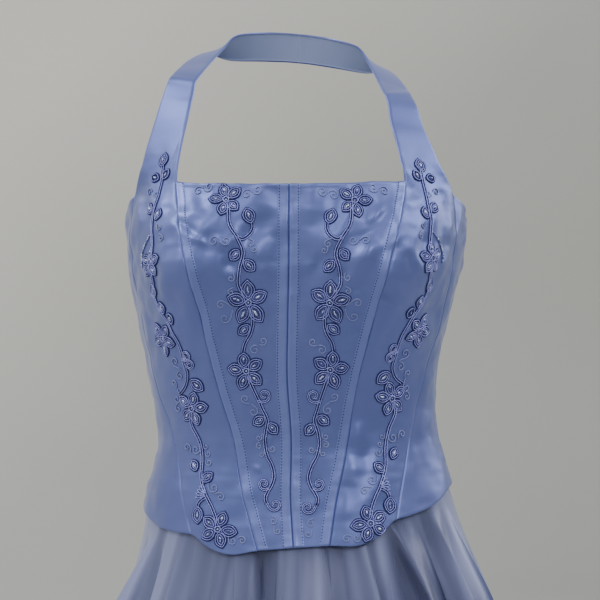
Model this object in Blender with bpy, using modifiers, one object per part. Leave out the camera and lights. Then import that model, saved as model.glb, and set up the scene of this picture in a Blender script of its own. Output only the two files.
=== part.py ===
"""Prom dress: a halter-neck corset bodice of satin over a floor-length skirt of sheer organza with its lining.

Metres, +Z up, the front faces -Y. The origin is the middle of the halter's nape seam, on its inner face.
Every cloth piece is a curved wall that follows one hollow form. That form is a stack of horizontal sections,
read from short tables along the height, and an angle round them: 0 at the centre front, 90 on the wearer's
left side (+X) and 180 at the centre back.
"""

import math

import bmesh
import bpy
import numpy as np
from mathutils import Matrix

# Cloth walls and gaps
SATIN = 0.0015  # face satin with its boned backing
SHEER = 0.0010  # organza, and the skirt's lining
SEAM_GAP = 0.0003  # between two pieces sewn together, and between a piece and what lies on it
SEAM_OPENING = 0.0005  # between two panels' outer edges: their inner ones, on a convex seam, are SEAM_GAP apart
CHANNEL_WIDTH = 0.0092
CHANNEL_WALL = 0.0008
CHANNEL_LIFT = 0.0005  # clear of the panel's flats
CHANNEL_TRIM = 0.12  # of a row, at each end

# Heights and depths below the nape
AXIS_Y = -0.065  # the torso's axis lies in front of the nape
JOIN = -0.378  # the skirt is sewn inside the bodice here
HEM = -1.450
LINING_HEM = -1.425

# Facets: rows and columns of each wall
PANEL_ROWS = 12
STRAP_ROWS = 14
FRONT_COLUMNS = 6
STRAP_COLUMNS = 5
SIDE_COLUMNS = 5
BACK_COLUMNS = 8
ORGANZA_COLUMNS = 20  # in a quarter turn
LINING_COLUMNS = 10

# Concealed zip at the centre back, and where its parts lie down the bodice, from 0 at the top edge
ZIP_TAPE_WIDTH = 0.022
ZIP_TAPE_WALL = 0.0008
ZIP_ROWS = 10
ZIP_ENDS = (0.01, 0.80)
TAPE_CLEARANCE = 0.0006  # more than a seam's gap, for the flats of the back panels
SLIDER_DROP = 0.045
SLIDER = (0.0062, 0.0026, 0.0090)  # width, depth, height
SLIDER_BEVEL = 0.0005
PIN_RADIUS = 0.0005
PIN_SIDES = 20
PIN_STAND_OFF = 0.0020  # from the slider's face
EAR_RADIUS = 0.0014
EAR_WALL = 0.0009
EAR_CLEARANCE = 0.0003
EAR_OVERLAP = 0.0006
EYE_RADIUS = 0.0014
EYE_BORE = 0.0008
PULL_EYE_WIDTH = 0.0022
PULL_NECK = 0.0028
PULL_LENGTH = 0.0220
PULL_WIDTH = 0.0060
PULL_WALL = 0.0010


def table(names, *rows):
    """Rows of numbers as named columns. The others are read along the first one, which rises."""
    return dict(zip(names.split(), np.array(rows, float).T))


def along(rows, name, at):
    """A column at a place along the first one, on a smooth curve through the rows."""
    knots = next(iter(rows.values()))
    values = rows[name]
    slopes = np.gradient(values, knots)
    at = np.clip(at, knots[0], knots[-1])
    i = np.clip(np.searchsorted(knots, at) - 1, 0, len(knots) - 2)
    span = knots[i + 1] - knots[i]
    t = (at - knots[i]) / span
    rise = values[i] + (3 * t**2 - 2 * t**3) * (values[i + 1] - values[i])
    return rise + span * ((t**3 - 2 * t**2 + t) * slopes[i] + (t**3 - t**2) * slopes[i + 1])


# The form that the bodice and the skirt follow, from the hem up. sway moves a section sideways, tilt raises it
# towards +X, square is the exponent that squares its corners (2 is an ellipse), and cup is the bust's fullness.
FORM = table(
    "height   half_width front back  sway   tilt   square cup",
    (-1.450, 0.400, 0.370, 0.380, 0.022, 0.000, 2.00, 0.000),
    (-1.100, 0.310, 0.282, 0.292, 0.019, 0.010, 2.00, 0.000),
    (-0.800, 0.231, 0.208, 0.220, 0.016, 0.030, 2.05, 0.000),
    (-0.620, 0.186, 0.163, 0.176, 0.013, 0.050, 2.10, 0.000),
    (-0.500, 0.160, 0.133, 0.142, 0.010, 0.065, 2.15, 0.000),
    (-0.440, 0.1450, 0.112, 0.119, 0.005, 0.075, 2.20, 0.000),
    (-0.400, 0.1355, 0.100, 0.100, 0.002, 0.085, 2.20, 0.000),
    (-0.350, 0.1235, 0.092, 0.082, 0.002, 0.085, 2.20, 0.000),
    (-0.300, 0.1278, 0.098, 0.080, -0.001, 0.060, 2.25, 0.002),
    (-0.250, 0.1378, 0.108, 0.086, 0.000, 0.040, 2.30, 0.011),
    (-0.210, 0.1465, 0.115, 0.091, 0.001, 0.025, 2.35, 0.018),
    (-0.175, 0.1518, 0.114, 0.093, 0.001, 0.015, 2.35, 0.013),
    (-0.135, 0.1520, 0.106, 0.093, 0.001, 0.000, 2.35, 0.000),
)

CUP_ANGLE, CUP_SPREAD = 36, 20  # degrees

# The bodice's edges round the form, and its seams down it: angle in degrees, height in metres, and drop from
# 0 at the top edge to 1 at the hem.
EDGES = table(
    "angle top     hem",
    (0, -0.1376, -0.4380),
    (10, -0.1374, -0.4385),
    (20, -0.1368, -0.4405),
    (27, -0.1360, -0.4350),
    (34, -0.1345, -0.4250),
    (42, -0.1330, -0.4225),
    (55, -0.1370, -0.4185),
    (72, -0.1480, -0.4095),
    (90, -0.1640, -0.4040),
    (105, -0.1740, -0.4040),
    (130, -0.1760, -0.4080),
    (180, -0.1780, -0.4150),
)
SEAMS = table(
    "drop centre princess side_front side_back back",
    (0.00, 0, 36.7, 66, 100, 180),
    (0.25, 0, 30.3, 68, 101, 180),
    (0.50, 0, 26.2, 67, 103, 180),
    (0.75, 0, 19.2, 54, 104, 180),
    (0.90, 0, 13.4, 42, 105, 180),
    (1.00, 0, 10.2, 35, 105, 180),
)

# The halter strap that each side-front panel runs into, from its base to the nape seam, on the wearer's left.
# Its neck edge is the inner one and its arm edge the outer one. Depths are from the torso's axis.
STRAP = table(
    "step neck_x neck_depth neck_height arm_x arm_depth arm_height",
    (1, 0.0975, -0.086, -0.1190, 0.1325, -0.0635, -0.1240),
    (2, 0.0958, -0.078, -0.1030, 0.1280, -0.0615, -0.1070),
    (3, 0.0909, -0.069, -0.0810, 0.1200, -0.0560, -0.0835),
    (4, 0.0871, -0.059, -0.0650, 0.1137, -0.0485, -0.0652),
    (5, 0.0849, -0.049, -0.0510, 0.1092, -0.0405, -0.0510),
    (6, 0.0802, -0.036, -0.0400, 0.1035, -0.0250, -0.0395),
    (7, 0.0735, -0.008, -0.0255, 0.0940, 0.0060, -0.0250),
    (8, 0.0655, 0.018, -0.0110, 0.0815, 0.0360, -0.0150),
    (9, 0.0560, 0.036, 0.0030, 0.0640, 0.0490, -0.0180),
    (10, 0.0330, 0.058, 0.0105, 0.0360, 0.0620, -0.0150),
    (11, 0.0120, 0.066, 0.0128, 0.0120, 0.0663, -0.0132),
    (12, 0.0003, 0.0665, 0.0130, 0.0003, 0.0665, -0.0130),
)
SHOULDER_TILT = -0.100  # the wearer's left shoulder is the lower one
SHOULDER_RISE = (-0.130, -0.070)  # heights between which that tilt sets in

# The skirt hangs from the join, clear inside the bodice's free hem. Each layer's inset from the form:
HANG = table(
    "height organza lining",
    (-1.450, 0.0000, 0.0350),
    (-0.620, 0.0000, 0.0230),
    (-0.500, 0.0005, 0.0145),
    (-0.440, 0.0042, 0.0110),
    (-0.410, 0.0038, 0.0068),
    (-0.378, 0.0024, 0.0040),
)
# The organza's largest folds: where each one lies, its half width in degrees, and how far it stands out (or
# in, below zero) just under the bodice and at the hem.
FRONT_FOLDS = table(
    "angle half_width near far",
    (-78, 7, 0.0040, 0.030),
    (-68, 5, -0.0050, -0.008),
    (-59, 6, 0.0040, 0.028),
    (-47, 6, -0.0040, -0.006),
    (-35, 9, 0.0040, 0.034),
    (-16, 6, -0.0080, -0.012),
    (-3, 7, 0.0030, 0.024),
    (14, 9, 0.0045, 0.032),
    (31, 6, -0.0080, -0.012),
    (42, 6, 0.0055, 0.030),
    (57, 6, -0.0040, -0.008),
    (69, 8, 0.0040, 0.030),
)
BACK_FOLDS = table(
    "angle half_width near far",
    (98, 8, 0.0040, 0.030),
    (112, 6, -0.0060, -0.010),
    (126, 9, 0.0045, 0.034),
    (141, 6, -0.0060, -0.010),
    (155, 8, 0.0045, 0.032),
    (170, 6, -0.0050, -0.008),
)
FOLD_HEIGHTS = (-0.425, -0.500, HEM)  # where folds begin, reach their near depth and reach their far depth
SKIRT_ROWS = (JOIN, -0.405, -0.430, -0.455, -0.500, -0.570, -0.700, -0.900, -1.160, HEM)
LINING_ROWS = (JOIN, -0.405, -0.440, -0.500, -0.620, -0.850, -1.130, LINING_HEM)


def signed_power(value, exponent):
    return np.sign(value) * np.abs(value) ** exponent


def wrap(degrees):
    """The same angle between -180 and 180."""
    return (np.asarray(degrees, float) + 180) % 360 - 180


def form_point(degrees, height, inset=0.0):
    """A point of the form at an angle and a height, with its section shrunk evenly by inset."""
    turn = np.radians(degrees)
    sine, cosine = np.sin(turn), np.cos(turn)
    power = 2 / along(FORM, "square", height)
    depth = np.where(cosine > 0, along(FORM, "front", height), along(FORM, "back", height))
    from_cup = (np.abs(wrap(degrees)) - CUP_ANGLE) / CUP_SPREAD
    cup = along(FORM, "cup", height) * np.exp(-(from_cup**2))
    x = (along(FORM, "half_width", height) - inset) * signed_power(sine, power)
    y = -(depth - inset) * signed_power(cosine, power) - cup
    z = height + along(FORM, "tilt", height) * x
    return np.stack([x + along(FORM, "sway", height), y + AXIS_Y, z + 0 * y], axis=-1)


def bodice_point(degrees, drop):
    """A point of the bodice's outer face, drop down from its top edge to its hem."""
    across = np.abs(wrap(degrees))
    top, hem = along(EDGES, "top", across), along(EDGES, "hem", across)
    return form_point(degrees, top + drop * (hem - top))


def moved_out(degrees, drop, distance, turn_step=0.4, drop_step=0.01):
    """A point of the bodice's outer face moved along the face's normal."""
    across = bodice_point(degrees + turn_step, drop) - bodice_point(degrees - turn_step, drop)
    down = bodice_point(degrees, drop + drop_step) - bodice_point(degrees, drop - drop_step)
    normal = np.cross(down, across)
    normal /= np.linalg.norm(normal, axis=-1, keepdims=True)
    return bodice_point(degrees, drop) + distance * normal


def beside(degrees, drop, distance, reach=30, halvings=40):
    """The angle whose point lies a signed distance round the bodice from another's, by halving."""
    near, far = degrees + 0.0 * drop, degrees + np.sign(distance) * reach + 0.0 * drop
    start = bodice_point(degrees, drop)
    for _ in range(halvings):
        middle = (near + far) / 2
        short = np.linalg.norm(bodice_point(middle, drop) - start, axis=-1) < abs(distance)
        near, far = np.where(short, middle, near), np.where(short, far, middle)
    return near


def panel_rows(seam_a, seam_b, drops, columns):
    """Rows of points between two seams of one panel, each edge half a gap inside its seam, angles rising."""
    angle_a = beside(seam_a, drops, SEAM_OPENING / 2)
    angle_b = beside(seam_b, drops, -SEAM_OPENING / 2)
    share = np.linspace(0, 1, columns + 1)
    angles = angle_a[:, None] + (angle_b - angle_a)[:, None] * share
    return bodice_point(angles, drops[:, None] + 0 * angles)


def seam(name, side, drops):
    """A seam's angle at each drop, on the wearer's left (side 1) or right (side -1)."""
    return side * along(SEAMS, name, drops)


def panel(inner, outer, side, drops, columns):
    """The rows of the panel between two named seams of one side."""
    seams = [seam(inner, side, drops), seam(outer, side, drops)]
    if side < 0:
        seams.reverse()
    return panel_rows(seams[0], seams[1], drops, columns)


def strap_rows(side, steps, columns):
    """Rows across the halter strap from its base to the nape, in the same column order as its panel."""
    edges = []
    for edge in ("neck", "arm"):
        x = side * along(STRAP, edge + "_x", steps)
        y = AXIS_Y + along(STRAP, edge + "_depth", steps)
        z = along(STRAP, edge + "_height", steps)
        low, high = SHOULDER_RISE
        z = z + SHOULDER_TILT * x * np.clip((z - low) / (high - low), 0, 1)
        edges.append(np.stack([x, y, z], axis=-1))
    if side < 0:
        edges.reverse()
    share = np.linspace(0, 1, columns + 1)[None, :, None]
    return edges[0][:, None] + (edges[1] - edges[0])[:, None] * share


def ends_trimmed(rows):
    """The rows with the first and last brought in a little."""
    trimmed = rows.copy()
    trimmed[0] += CHANNEL_TRIM * (rows[1] - rows[0])
    trimmed[-1] += CHANNEL_TRIM * (rows[-2] - rows[-1])
    return trimmed


def strip_on(panel_points, from_last, distances, out):
    """Rows of a strip laid on a panel: its columns lie at distances from one edge, moved out off the panel."""
    normals = np.cross(np.gradient(panel_points, axis=0), np.gradient(panel_points, axis=1))
    normals /= np.linalg.norm(normals, axis=-1, keepdims=True)
    strip = []
    for points, facing in zip(panel_points, normals):
        if from_last:
            points, facing = points[::-1], facing[::-1]
        lengths = np.concatenate([[0], np.cumsum(np.linalg.norm(np.diff(points, axis=0), axis=1))])
        lifted = points + out * facing
        strip.append([[np.interp(d, lengths, lifted[:, axis]) for axis in range(3)] for d in distances])
    return np.array(strip)[:, ::-1] if from_last else np.array(strip)


def fold_offset(degrees, height, folds):
    """How far the folds push the organza out at an angle and a height."""
    start, near_height, hem = FOLD_HEIGHTS
    near_share = np.clip((start - height) / (start - near_height), 0, 1)
    far_share = np.clip((near_height - height) / (near_height - hem), 0, 1)
    total = 0.0 * degrees
    for angle, half_width, near, far in zip(*folds.values()):
        shape = np.exp(-((wrap(degrees - angle) / half_width) ** 2))
        total = total + shape * (near + (far - near) * far_share) * near_share
    return total


def skirt_rows(layer, start, stop, heights, columns, folded):
    """Rows of one skirt piece between two angles, from the join to its hem."""
    heights = np.array(heights)
    radius = along(FORM, "half_width", heights)
    edge = np.degrees(SEAM_OPENING / 2 / radius)
    share = np.linspace(0, 1, columns + 1)
    turn = (start + edge)[:, None] + (stop - start - 2 * edge)[:, None] * share
    level = heights[:, None] + 0 * turn
    inset = along(HANG, layer, level)
    if folded:
        mirrored = dict(BACK_FOLDS, angle=-BACK_FOLDS["angle"])
        inset = inset - sum(fold_offset(turn, level, folds) for folds in (FRONT_FOLDS, BACK_FOLDS, mirrored))
    return form_point(turn, level, inset)


def material(name, colour, roughness, metallic=0.0, sheen=0.0):
    """A plain Principled material."""
    made = bpy.data.materials.new(name)
    made.use_nodes = True
    shader = made.node_tree.nodes["Principled BSDF"]
    shader.inputs["Base Color"].default_value = (*colour, 1.0)
    shader.inputs["Roughness"].default_value = roughness
    shader.inputs["Metallic"].default_value = metallic
    shader.inputs["Sheen Weight"].default_value = sheen
    made.diffuse_color = (*colour, 1.0)
    return made


def cloth(name, rows, wall, finish, collection, outward=False):
    """A wall of cloth on a grid of points. Rows run down and columns run towards the wearer's left."""
    height, width = rows.shape[:2]
    mesh = bpy.data.meshes.new(name)
    faces = [
        (i * width + j, (i + 1) * width + j, (i + 1) * width + j + 1, i * width + j + 1)
        for i in range(height - 1)
        for j in range(width - 1)
    ]
    mesh.from_pydata(rows.reshape(-1, 3).tolist(), [], faces)
    mesh.shade_smooth()
    mesh.materials.append(finish)
    made = bpy.data.objects.new(name, mesh)
    collection.objects.link(made)
    facets = made.modifiers.new("facets", "TRIANGULATE")
    facets.quad_method = "SHORTEST_DIAGONAL"
    solidify = made.modifiers.new("wall", "SOLIDIFY")
    solidify.thickness = wall
    solidify.offset = 1.0 if outward else -1.0
    return made


def placed(name, shape, centre, collection):
    """An object made from a bmesh, at a place."""
    mesh = bpy.data.meshes.new(name)
    shape.to_mesh(mesh)
    shape.free()
    made = bpy.data.objects.new(name, mesh)
    made.location = centre
    collection.objects.link(made)
    return made


def box(name, size, centre, collection, bevel=0.0):
    """A box with its edges rounded by bevel."""
    shape = bmesh.new()
    bmesh.ops.create_cube(shape, size=1.0)
    bmesh.ops.scale(shape, vec=size, verts=shape.verts)
    if bevel:
        bmesh.ops.bevel(shape, geom=shape.edges, offset=bevel, segments=2, profile=0.5, affect="EDGES")
    return placed(name, shape, centre, collection)


def cross_pin(name, radius, length, centre, collection):
    """A cylinder along X."""
    shape = bmesh.new()
    bmesh.ops.create_cone(
        shape, cap_ends=True, segments=PIN_SIDES, radius1=radius, radius2=radius, depth=length
    )
    bmesh.ops.rotate(shape, matrix=Matrix.Rotation(math.pi / 2, 3, "Y"), verts=shape.verts)
    return placed(name, shape, centre, collection)


def combine(target, operation, *others):
    """Join others to a target, or cut them from it."""
    for other in others:
        other.hide_render = True
        other.display_type = "WIRE"
        step = target.modifiers.new(other.name, "BOOLEAN")
        step.operation = operation
        step.object = other


def clear_scene():
    for thing in list(bpy.data.objects):
        bpy.data.objects.remove(thing, do_unlink=True)


def new_collection(name):
    made = bpy.data.collections.new(name)
    bpy.context.scene.collection.children.link(made)
    return made


def build_bodice(satin, dress):
    """The satin panels and channels of each side. The halter strap is cut in one with the side front."""
    drops = np.linspace(0, 1, PANEL_ROWS + 1)
    strap_steps = np.linspace(1, STRAP["step"][-1], STRAP_ROWS + 1)
    across_channel = np.linspace(SEAM_GAP, CHANNEL_WIDTH, 3)
    for side, hand in ((1, "left"), (-1, "right")):
        front = panel("centre", "princess", side, drops, FRONT_COLUMNS)
        cloth(f"front_panel_{hand}", front, SATIN, satin, dress)
        for name, at_last in (("centre", side < 0), ("princess", side > 0)):
            strip = strip_on(ends_trimmed(front), at_last, across_channel, CHANNEL_LIFT)
            cloth(f"{name}_channel_{hand}", strip, CHANNEL_WALL, satin, dress, outward=True)
        side_front = panel("princess", "side_front", side, drops, STRAP_COLUMNS)
        strap = strap_rows(side, strap_steps, STRAP_COLUMNS)
        halter = np.concatenate([strap[::-1], side_front])
        cloth(f"side_front_halter_{hand}", halter, SATIN, satin, dress)
        side_rows = panel("side_front", "side_back", side, drops, SIDE_COLUMNS)
        cloth(f"side_panel_{hand}", side_rows, SATIN, satin, dress)
        back = panel("side_back", "back", side, drops, BACK_COLUMNS)
        cloth(f"back_panel_{hand}", back, SATIN, satin, dress)


def build_skirt(organza, lining, dress):
    """The organza skirt and the lining under it: a front and two backs each, with the zip's opening behind."""
    pieces = (("front", -90, 90, 2), ("back_left", 90, 180, 1), ("back_right", 180, 270, 1))
    for name, start, stop, quarters in pieces:
        outer = skirt_rows("organza", start, stop, SKIRT_ROWS, quarters * ORGANZA_COLUMNS, True)
        cloth(f"overskirt_{name}", outer, SHEER, organza, dress)
        inner = skirt_rows("lining", start, stop, LINING_ROWS, quarters * LINING_COLUMNS, False)
        cloth(f"skirt_lining_{name}", inner, SHEER, lining, dress)


def build_zip(tape_cloth, metal, dress, cutters):
    """The concealed zip: its tape behind the centre-back seam, the slider at its top, and the hanging pull."""
    drops = np.clip(np.linspace(0, 1, PANEL_ROWS + 1)[: ZIP_ROWS + 1], *ZIP_ENDS)
    turn = np.stack([beside(180, drops, -ZIP_TAPE_WIDTH / 2), 180 + 0 * drops,
                     beside(180, drops, ZIP_TAPE_WIDTH / 2)], axis=1)
    tape = moved_out(turn, drops[:, None] + 0 * turn, -SATIN - TAPE_CLEARANCE)
    cloth("zip_tape", tape, ZIP_TAPE_WALL, tape_cloth, dress)

    seat = bodice_point(180, SLIDER_DROP)
    width, depth, height = SLIDER
    outer_face = seat[1] + SEAM_GAP + depth
    slider_centre = (seat[0], outer_face - depth / 2, seat[2])
    slider = box("zip_slider", SLIDER, slider_centre, dress, bevel=SLIDER_BEVEL)
    pin_centre = (seat[0], outer_face + PIN_STAND_OFF, seat[2] + height / 4)
    ear_offset = PULL_EYE_WIDTH / 2 + EAR_CLEARANCE + EAR_WALL / 2
    ear_depth = PIN_STAND_OFF + EAR_RADIUS + EAR_OVERLAP
    ears = []
    for sign in (-1, 1):
        centre = (seat[0] + sign * ear_offset, outer_face + ear_depth / 2 - EAR_OVERLAP, pin_centre[2])
        ears.append(box(f"ear_{sign}", (EAR_WALL, ear_depth, 2 * EAR_RADIUS), centre, cutters))
    pin = cross_pin("slider_pin", PIN_RADIUS, 2 * ear_offset, pin_centre, cutters)
    combine(slider, "UNION", *ears, pin)
    slider.data.materials.append(metal)

    neck_length = PULL_NECK + EYE_RADIUS
    plate_length = PULL_LENGTH - PULL_NECK
    plate_centre = (seat[0], pin_centre[1], pin_centre[2] - PULL_NECK - plate_length / 2)
    pull = box("zip_pull", (PULL_WIDTH, PULL_WALL, plate_length), plate_centre, dress, bevel=PULL_WALL * 0.3)
    neck_centre = (seat[0], pin_centre[1], pin_centre[2] - neck_length / 2)
    neck = box("pull_neck", (PULL_EYE_WIDTH, PULL_WALL * 0.9, neck_length), neck_centre, cutters)
    eye = cross_pin("pull_eye", EYE_RADIUS, PULL_EYE_WIDTH, pin_centre, cutters)
    bore = cross_pin("pull_bore", EYE_BORE, PULL_EYE_WIDTH * 2, pin_centre, cutters)
    combine(pull, "UNION", neck, eye)
    combine(pull, "DIFFERENCE", bore)
    pull.data.materials.append(metal)


def main():
    clear_scene()
    dress = new_collection("prom_dress")
    cutters = new_collection("cutters")
    satin = material("satin", (0.205, 0.283, 0.610), 0.38, sheen=0.3)
    organza = material("organza", (0.223, 0.254, 0.376), 0.45, sheen=0.4)
    lining = material("lining", (0.305, 0.342, 0.485), 0.55)
    tape_cloth = material("zip_tape", (0.180, 0.250, 0.540), 0.80)
    metal = material("zip_metal", (0.350, 0.400, 0.600), 0.35, metallic=0.8)
    build_bodice(satin, dress)
    build_skirt(organza, lining, dress)
    build_zip(tape_cloth, metal, dress, cutters)


main()
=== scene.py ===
"""Looks of the prom dress: satin bodice with corded vines, sheer organza skirt over its lining.

Metres, +Z up, the front faces -Y, the origin is at the nape. An angle round the dress is 0 at the centre
front, 90 on the wearer's left (+X) and 180 at the centre back.
"""

import math

import bpy
import numpy as np
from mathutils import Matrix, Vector, noise
from mathutils.bvhtree import BVHTree


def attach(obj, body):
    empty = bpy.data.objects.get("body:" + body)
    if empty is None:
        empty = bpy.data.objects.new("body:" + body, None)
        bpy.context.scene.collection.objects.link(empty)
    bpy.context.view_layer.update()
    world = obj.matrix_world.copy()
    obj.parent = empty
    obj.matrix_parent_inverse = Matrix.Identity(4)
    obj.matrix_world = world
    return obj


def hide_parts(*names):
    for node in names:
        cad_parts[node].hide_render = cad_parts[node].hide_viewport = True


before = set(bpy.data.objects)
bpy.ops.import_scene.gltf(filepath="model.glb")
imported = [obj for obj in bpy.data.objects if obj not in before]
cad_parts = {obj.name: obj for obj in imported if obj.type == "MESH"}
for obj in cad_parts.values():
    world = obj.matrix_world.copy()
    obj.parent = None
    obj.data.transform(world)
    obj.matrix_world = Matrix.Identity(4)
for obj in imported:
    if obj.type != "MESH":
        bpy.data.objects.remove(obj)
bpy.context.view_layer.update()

MM = 0.001

# Cloth
SATIN = 0.0013  # the panels' wall
SEAM_OPENING = 0.0001  # between two panels
EDGE_ROUND = 0.0005
HALTER_STEP = 0.0016  # between the halter's rows
AXIS_Y = -0.065
JOIN = -0.378
HEM = -1.450
LINING_HEM = -1.425


def table(names, *rows):
    """Rows of numbers as named columns. The others are read along the first one, which rises."""
    return dict(zip(names.split(), np.array(rows, float).T))


def along(rows, name, at):
    """A column at a place along the first one, on a smooth curve through the rows."""
    return smooth_at(next(iter(rows.values())), rows[name], at)


def smooth_at(knots, values, at):
    """Values at places between knots, on a smooth curve. Values may be numbers or points."""
    slopes = np.gradient(values, knots, axis=0)
    at = np.clip(at, knots[0], knots[-1])
    i = np.clip(np.searchsorted(knots, at) - 1, 0, len(knots) - 2)
    span = knots[i + 1] - knots[i]
    t = (at - knots[i]) / span
    if np.ndim(values) > 1:
        t, span = (x.reshape(x.shape + (1,) * (np.ndim(values) - 1)) for x in (t, span))
    rise = values[i] + (3 * t**2 - 2 * t**3) * (values[i + 1] - values[i])
    return rise + span * ((t**3 - 2 * t**2 + t) * slopes[i] + (t**3 - t**2) * slopes[i + 1])


def lengths_along(points):
    """How far along a line each of its points lies."""
    return np.concatenate([[0], np.cumsum(np.linalg.norm(np.diff(points, axis=0), axis=1))])


def read_at(at, lengths, values):
    """What a line's points hold, read at lengths along it."""
    return np.stack([np.interp(at, lengths, values[:, k]) for k in range(3)], axis=-1)


def share_of(value, start, stop):
    """How far a value has come from start to stop, from 0 to 1."""
    return np.clip((value - start) / (stop - start), 0, 1)


def unit(vectors):
    return vectors / np.maximum(np.linalg.norm(vectors, axis=-1, keepdims=True), 1e-12)


# The form: horizontal sections up the dress. sway moves one sideways, tilt raises it towards +X, square is
# the exponent that squares its corners, and cup is the bust's fullness.
FORM = table(
    "height   half_width front back  sway   tilt   square cup",
    (-1.450, 0.400, 0.370, 0.380, 0.022, 0.000, 2.00, 0.000),
    (-1.100, 0.310, 0.282, 0.292, 0.019, 0.010, 2.00, 0.000),
    (-0.800, 0.231, 0.208, 0.220, 0.016, 0.030, 2.05, 0.000),
    (-0.620, 0.186, 0.163, 0.176, 0.013, 0.050, 2.10, 0.000),
    (-0.500, 0.160, 0.133, 0.142, 0.010, 0.065, 2.15, 0.000),
    (-0.440, 0.1450, 0.112, 0.119, 0.005, 0.075, 2.20, 0.000),
    (-0.400, 0.1355, 0.100, 0.100, 0.002, 0.085, 2.20, 0.000),
    (-0.350, 0.1235, 0.092, 0.082, 0.002, 0.085, 2.20, 0.000),
    (-0.300, 0.1278, 0.098, 0.080, -0.001, 0.060, 2.25, 0.002),
    (-0.250, 0.1378, 0.108, 0.086, 0.000, 0.040, 2.30, 0.011),
    (-0.210, 0.1465, 0.115, 0.091, 0.001, 0.025, 2.35, 0.018),
    (-0.175, 0.1518, 0.114, 0.093, 0.001, 0.015, 2.35, 0.013),
    (-0.135, 0.1520, 0.106, 0.093, 0.001, 0.000, 2.35, 0.000),
)
CUP_ANGLE, CUP_SPREAD = 36, 20  # degrees
EDGES = table(
    "angle top     hem",
    (0, -0.1376, -0.4380),
    (10, -0.1374, -0.4385),
    (20, -0.1368, -0.4405),
    (27, -0.1360, -0.4350),
    (34, -0.1345, -0.4250),
    (42, -0.1330, -0.4225),
    (55, -0.1370, -0.4185),
    (72, -0.1480, -0.4095),
    (90, -0.1640, -0.4040),
    (105, -0.1740, -0.4040),
    (130, -0.1760, -0.4080),
    (180, -0.1780, -0.4150),
)
SEAMS = table(
    "drop centre princess side_front side_back back",
    (0.00, 0, 36.7, 66, 100, 180),
    (0.25, 0, 30.3, 68, 101, 180),
    (0.50, 0, 26.2, 67, 103, 180),
    (0.75, 0, 19.2, 54, 104, 180),
    (0.90, 0, 13.4, 42, 105, 180),
    (1.00, 0, 10.2, 35, 105, 180),
)
STRAP = table(
    "step neck_x neck_depth neck_height arm_x arm_depth arm_height",
    (1, 0.0975, -0.086, -0.1190, 0.1325, -0.0635, -0.1240),
    (2, 0.0958, -0.078, -0.1030, 0.1280, -0.0615, -0.1070),
    (3, 0.0909, -0.069, -0.0810, 0.1200, -0.0560, -0.0835),
    (4, 0.0871, -0.059, -0.0650, 0.1137, -0.0485, -0.0652),
    (5, 0.0849, -0.049, -0.0510, 0.1092, -0.0405, -0.0510),
    (6, 0.0802, -0.036, -0.0400, 0.1035, -0.0250, -0.0395),
    (7, 0.0735, -0.008, -0.0255, 0.0940, 0.0060, -0.0250),
    (8, 0.0655, 0.018, -0.0110, 0.0815, 0.0360, -0.0150),
    (9, 0.0560, 0.036, 0.0030, 0.0640, 0.0490, -0.0180),
    (10, 0.0330, 0.058, 0.0105, 0.0360, 0.0620, -0.0150),
    (11, 0.0120, 0.066, 0.0128, 0.0120, 0.0663, -0.0132),
    (12, 0.00005, 0.0665, 0.0130, 0.00005, 0.0665, -0.0130),
)
SHOULDER_TILT = -0.100  # the rise towards +X, to the metre
SHOULDER_RISE = (-0.130, -0.070)  # it sets in between these heights

# The skirt layers' insets from the form, and the organza's folds.
HANG = table(
    "height organza lining",
    (-1.450, 0.0000, 0.0350),
    (-0.620, 0.0000, 0.0230),
    (-0.500, 0.0005, 0.0160),
    (-0.440, 0.0042, 0.0120),
    (-0.410, 0.0038, 0.0068),
    (-0.378, 0.0024, 0.0040),
)
FRONT_FOLDS = table(
    "angle half_width near far",
    (-79, 5, 0.0030, 0.026),
    (-70, 3.5, -0.0060, -0.010),
    (-61, 5, 0.0100, 0.030),
    (-51, 4, -0.0075, -0.008),
    (-42, 6, 0.0070, 0.034),
    (-30, 5, -0.0060, -0.010),
    (-22, 4, 0.0050, 0.024),
    (-11, 4, -0.0170, -0.018),
    (-1, 5, 0.0060, 0.026),
    (13, 6, -0.0050, -0.008),
    (22, 4, 0.0055, 0.030),
    (31, 5, -0.0105, -0.014),
    (41, 4, 0.0090, 0.032),
    (49, 4, -0.0060, -0.008),
    (57, 4, 0.0070, 0.028),
    (64, 3.5, -0.0080, -0.010),
    (73, 6, 0.0085, 0.034),
)
BACK_FOLDS = table(
    "angle half_width near far",
    (98, 8, 0.0040, 0.030),
    (112, 6, -0.0060, -0.010),
    (126, 9, 0.0045, 0.034),
    (141, 6, -0.0060, -0.010),
    (155, 8, 0.0045, 0.032),
    (170, 6, -0.0050, -0.008),
)
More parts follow.
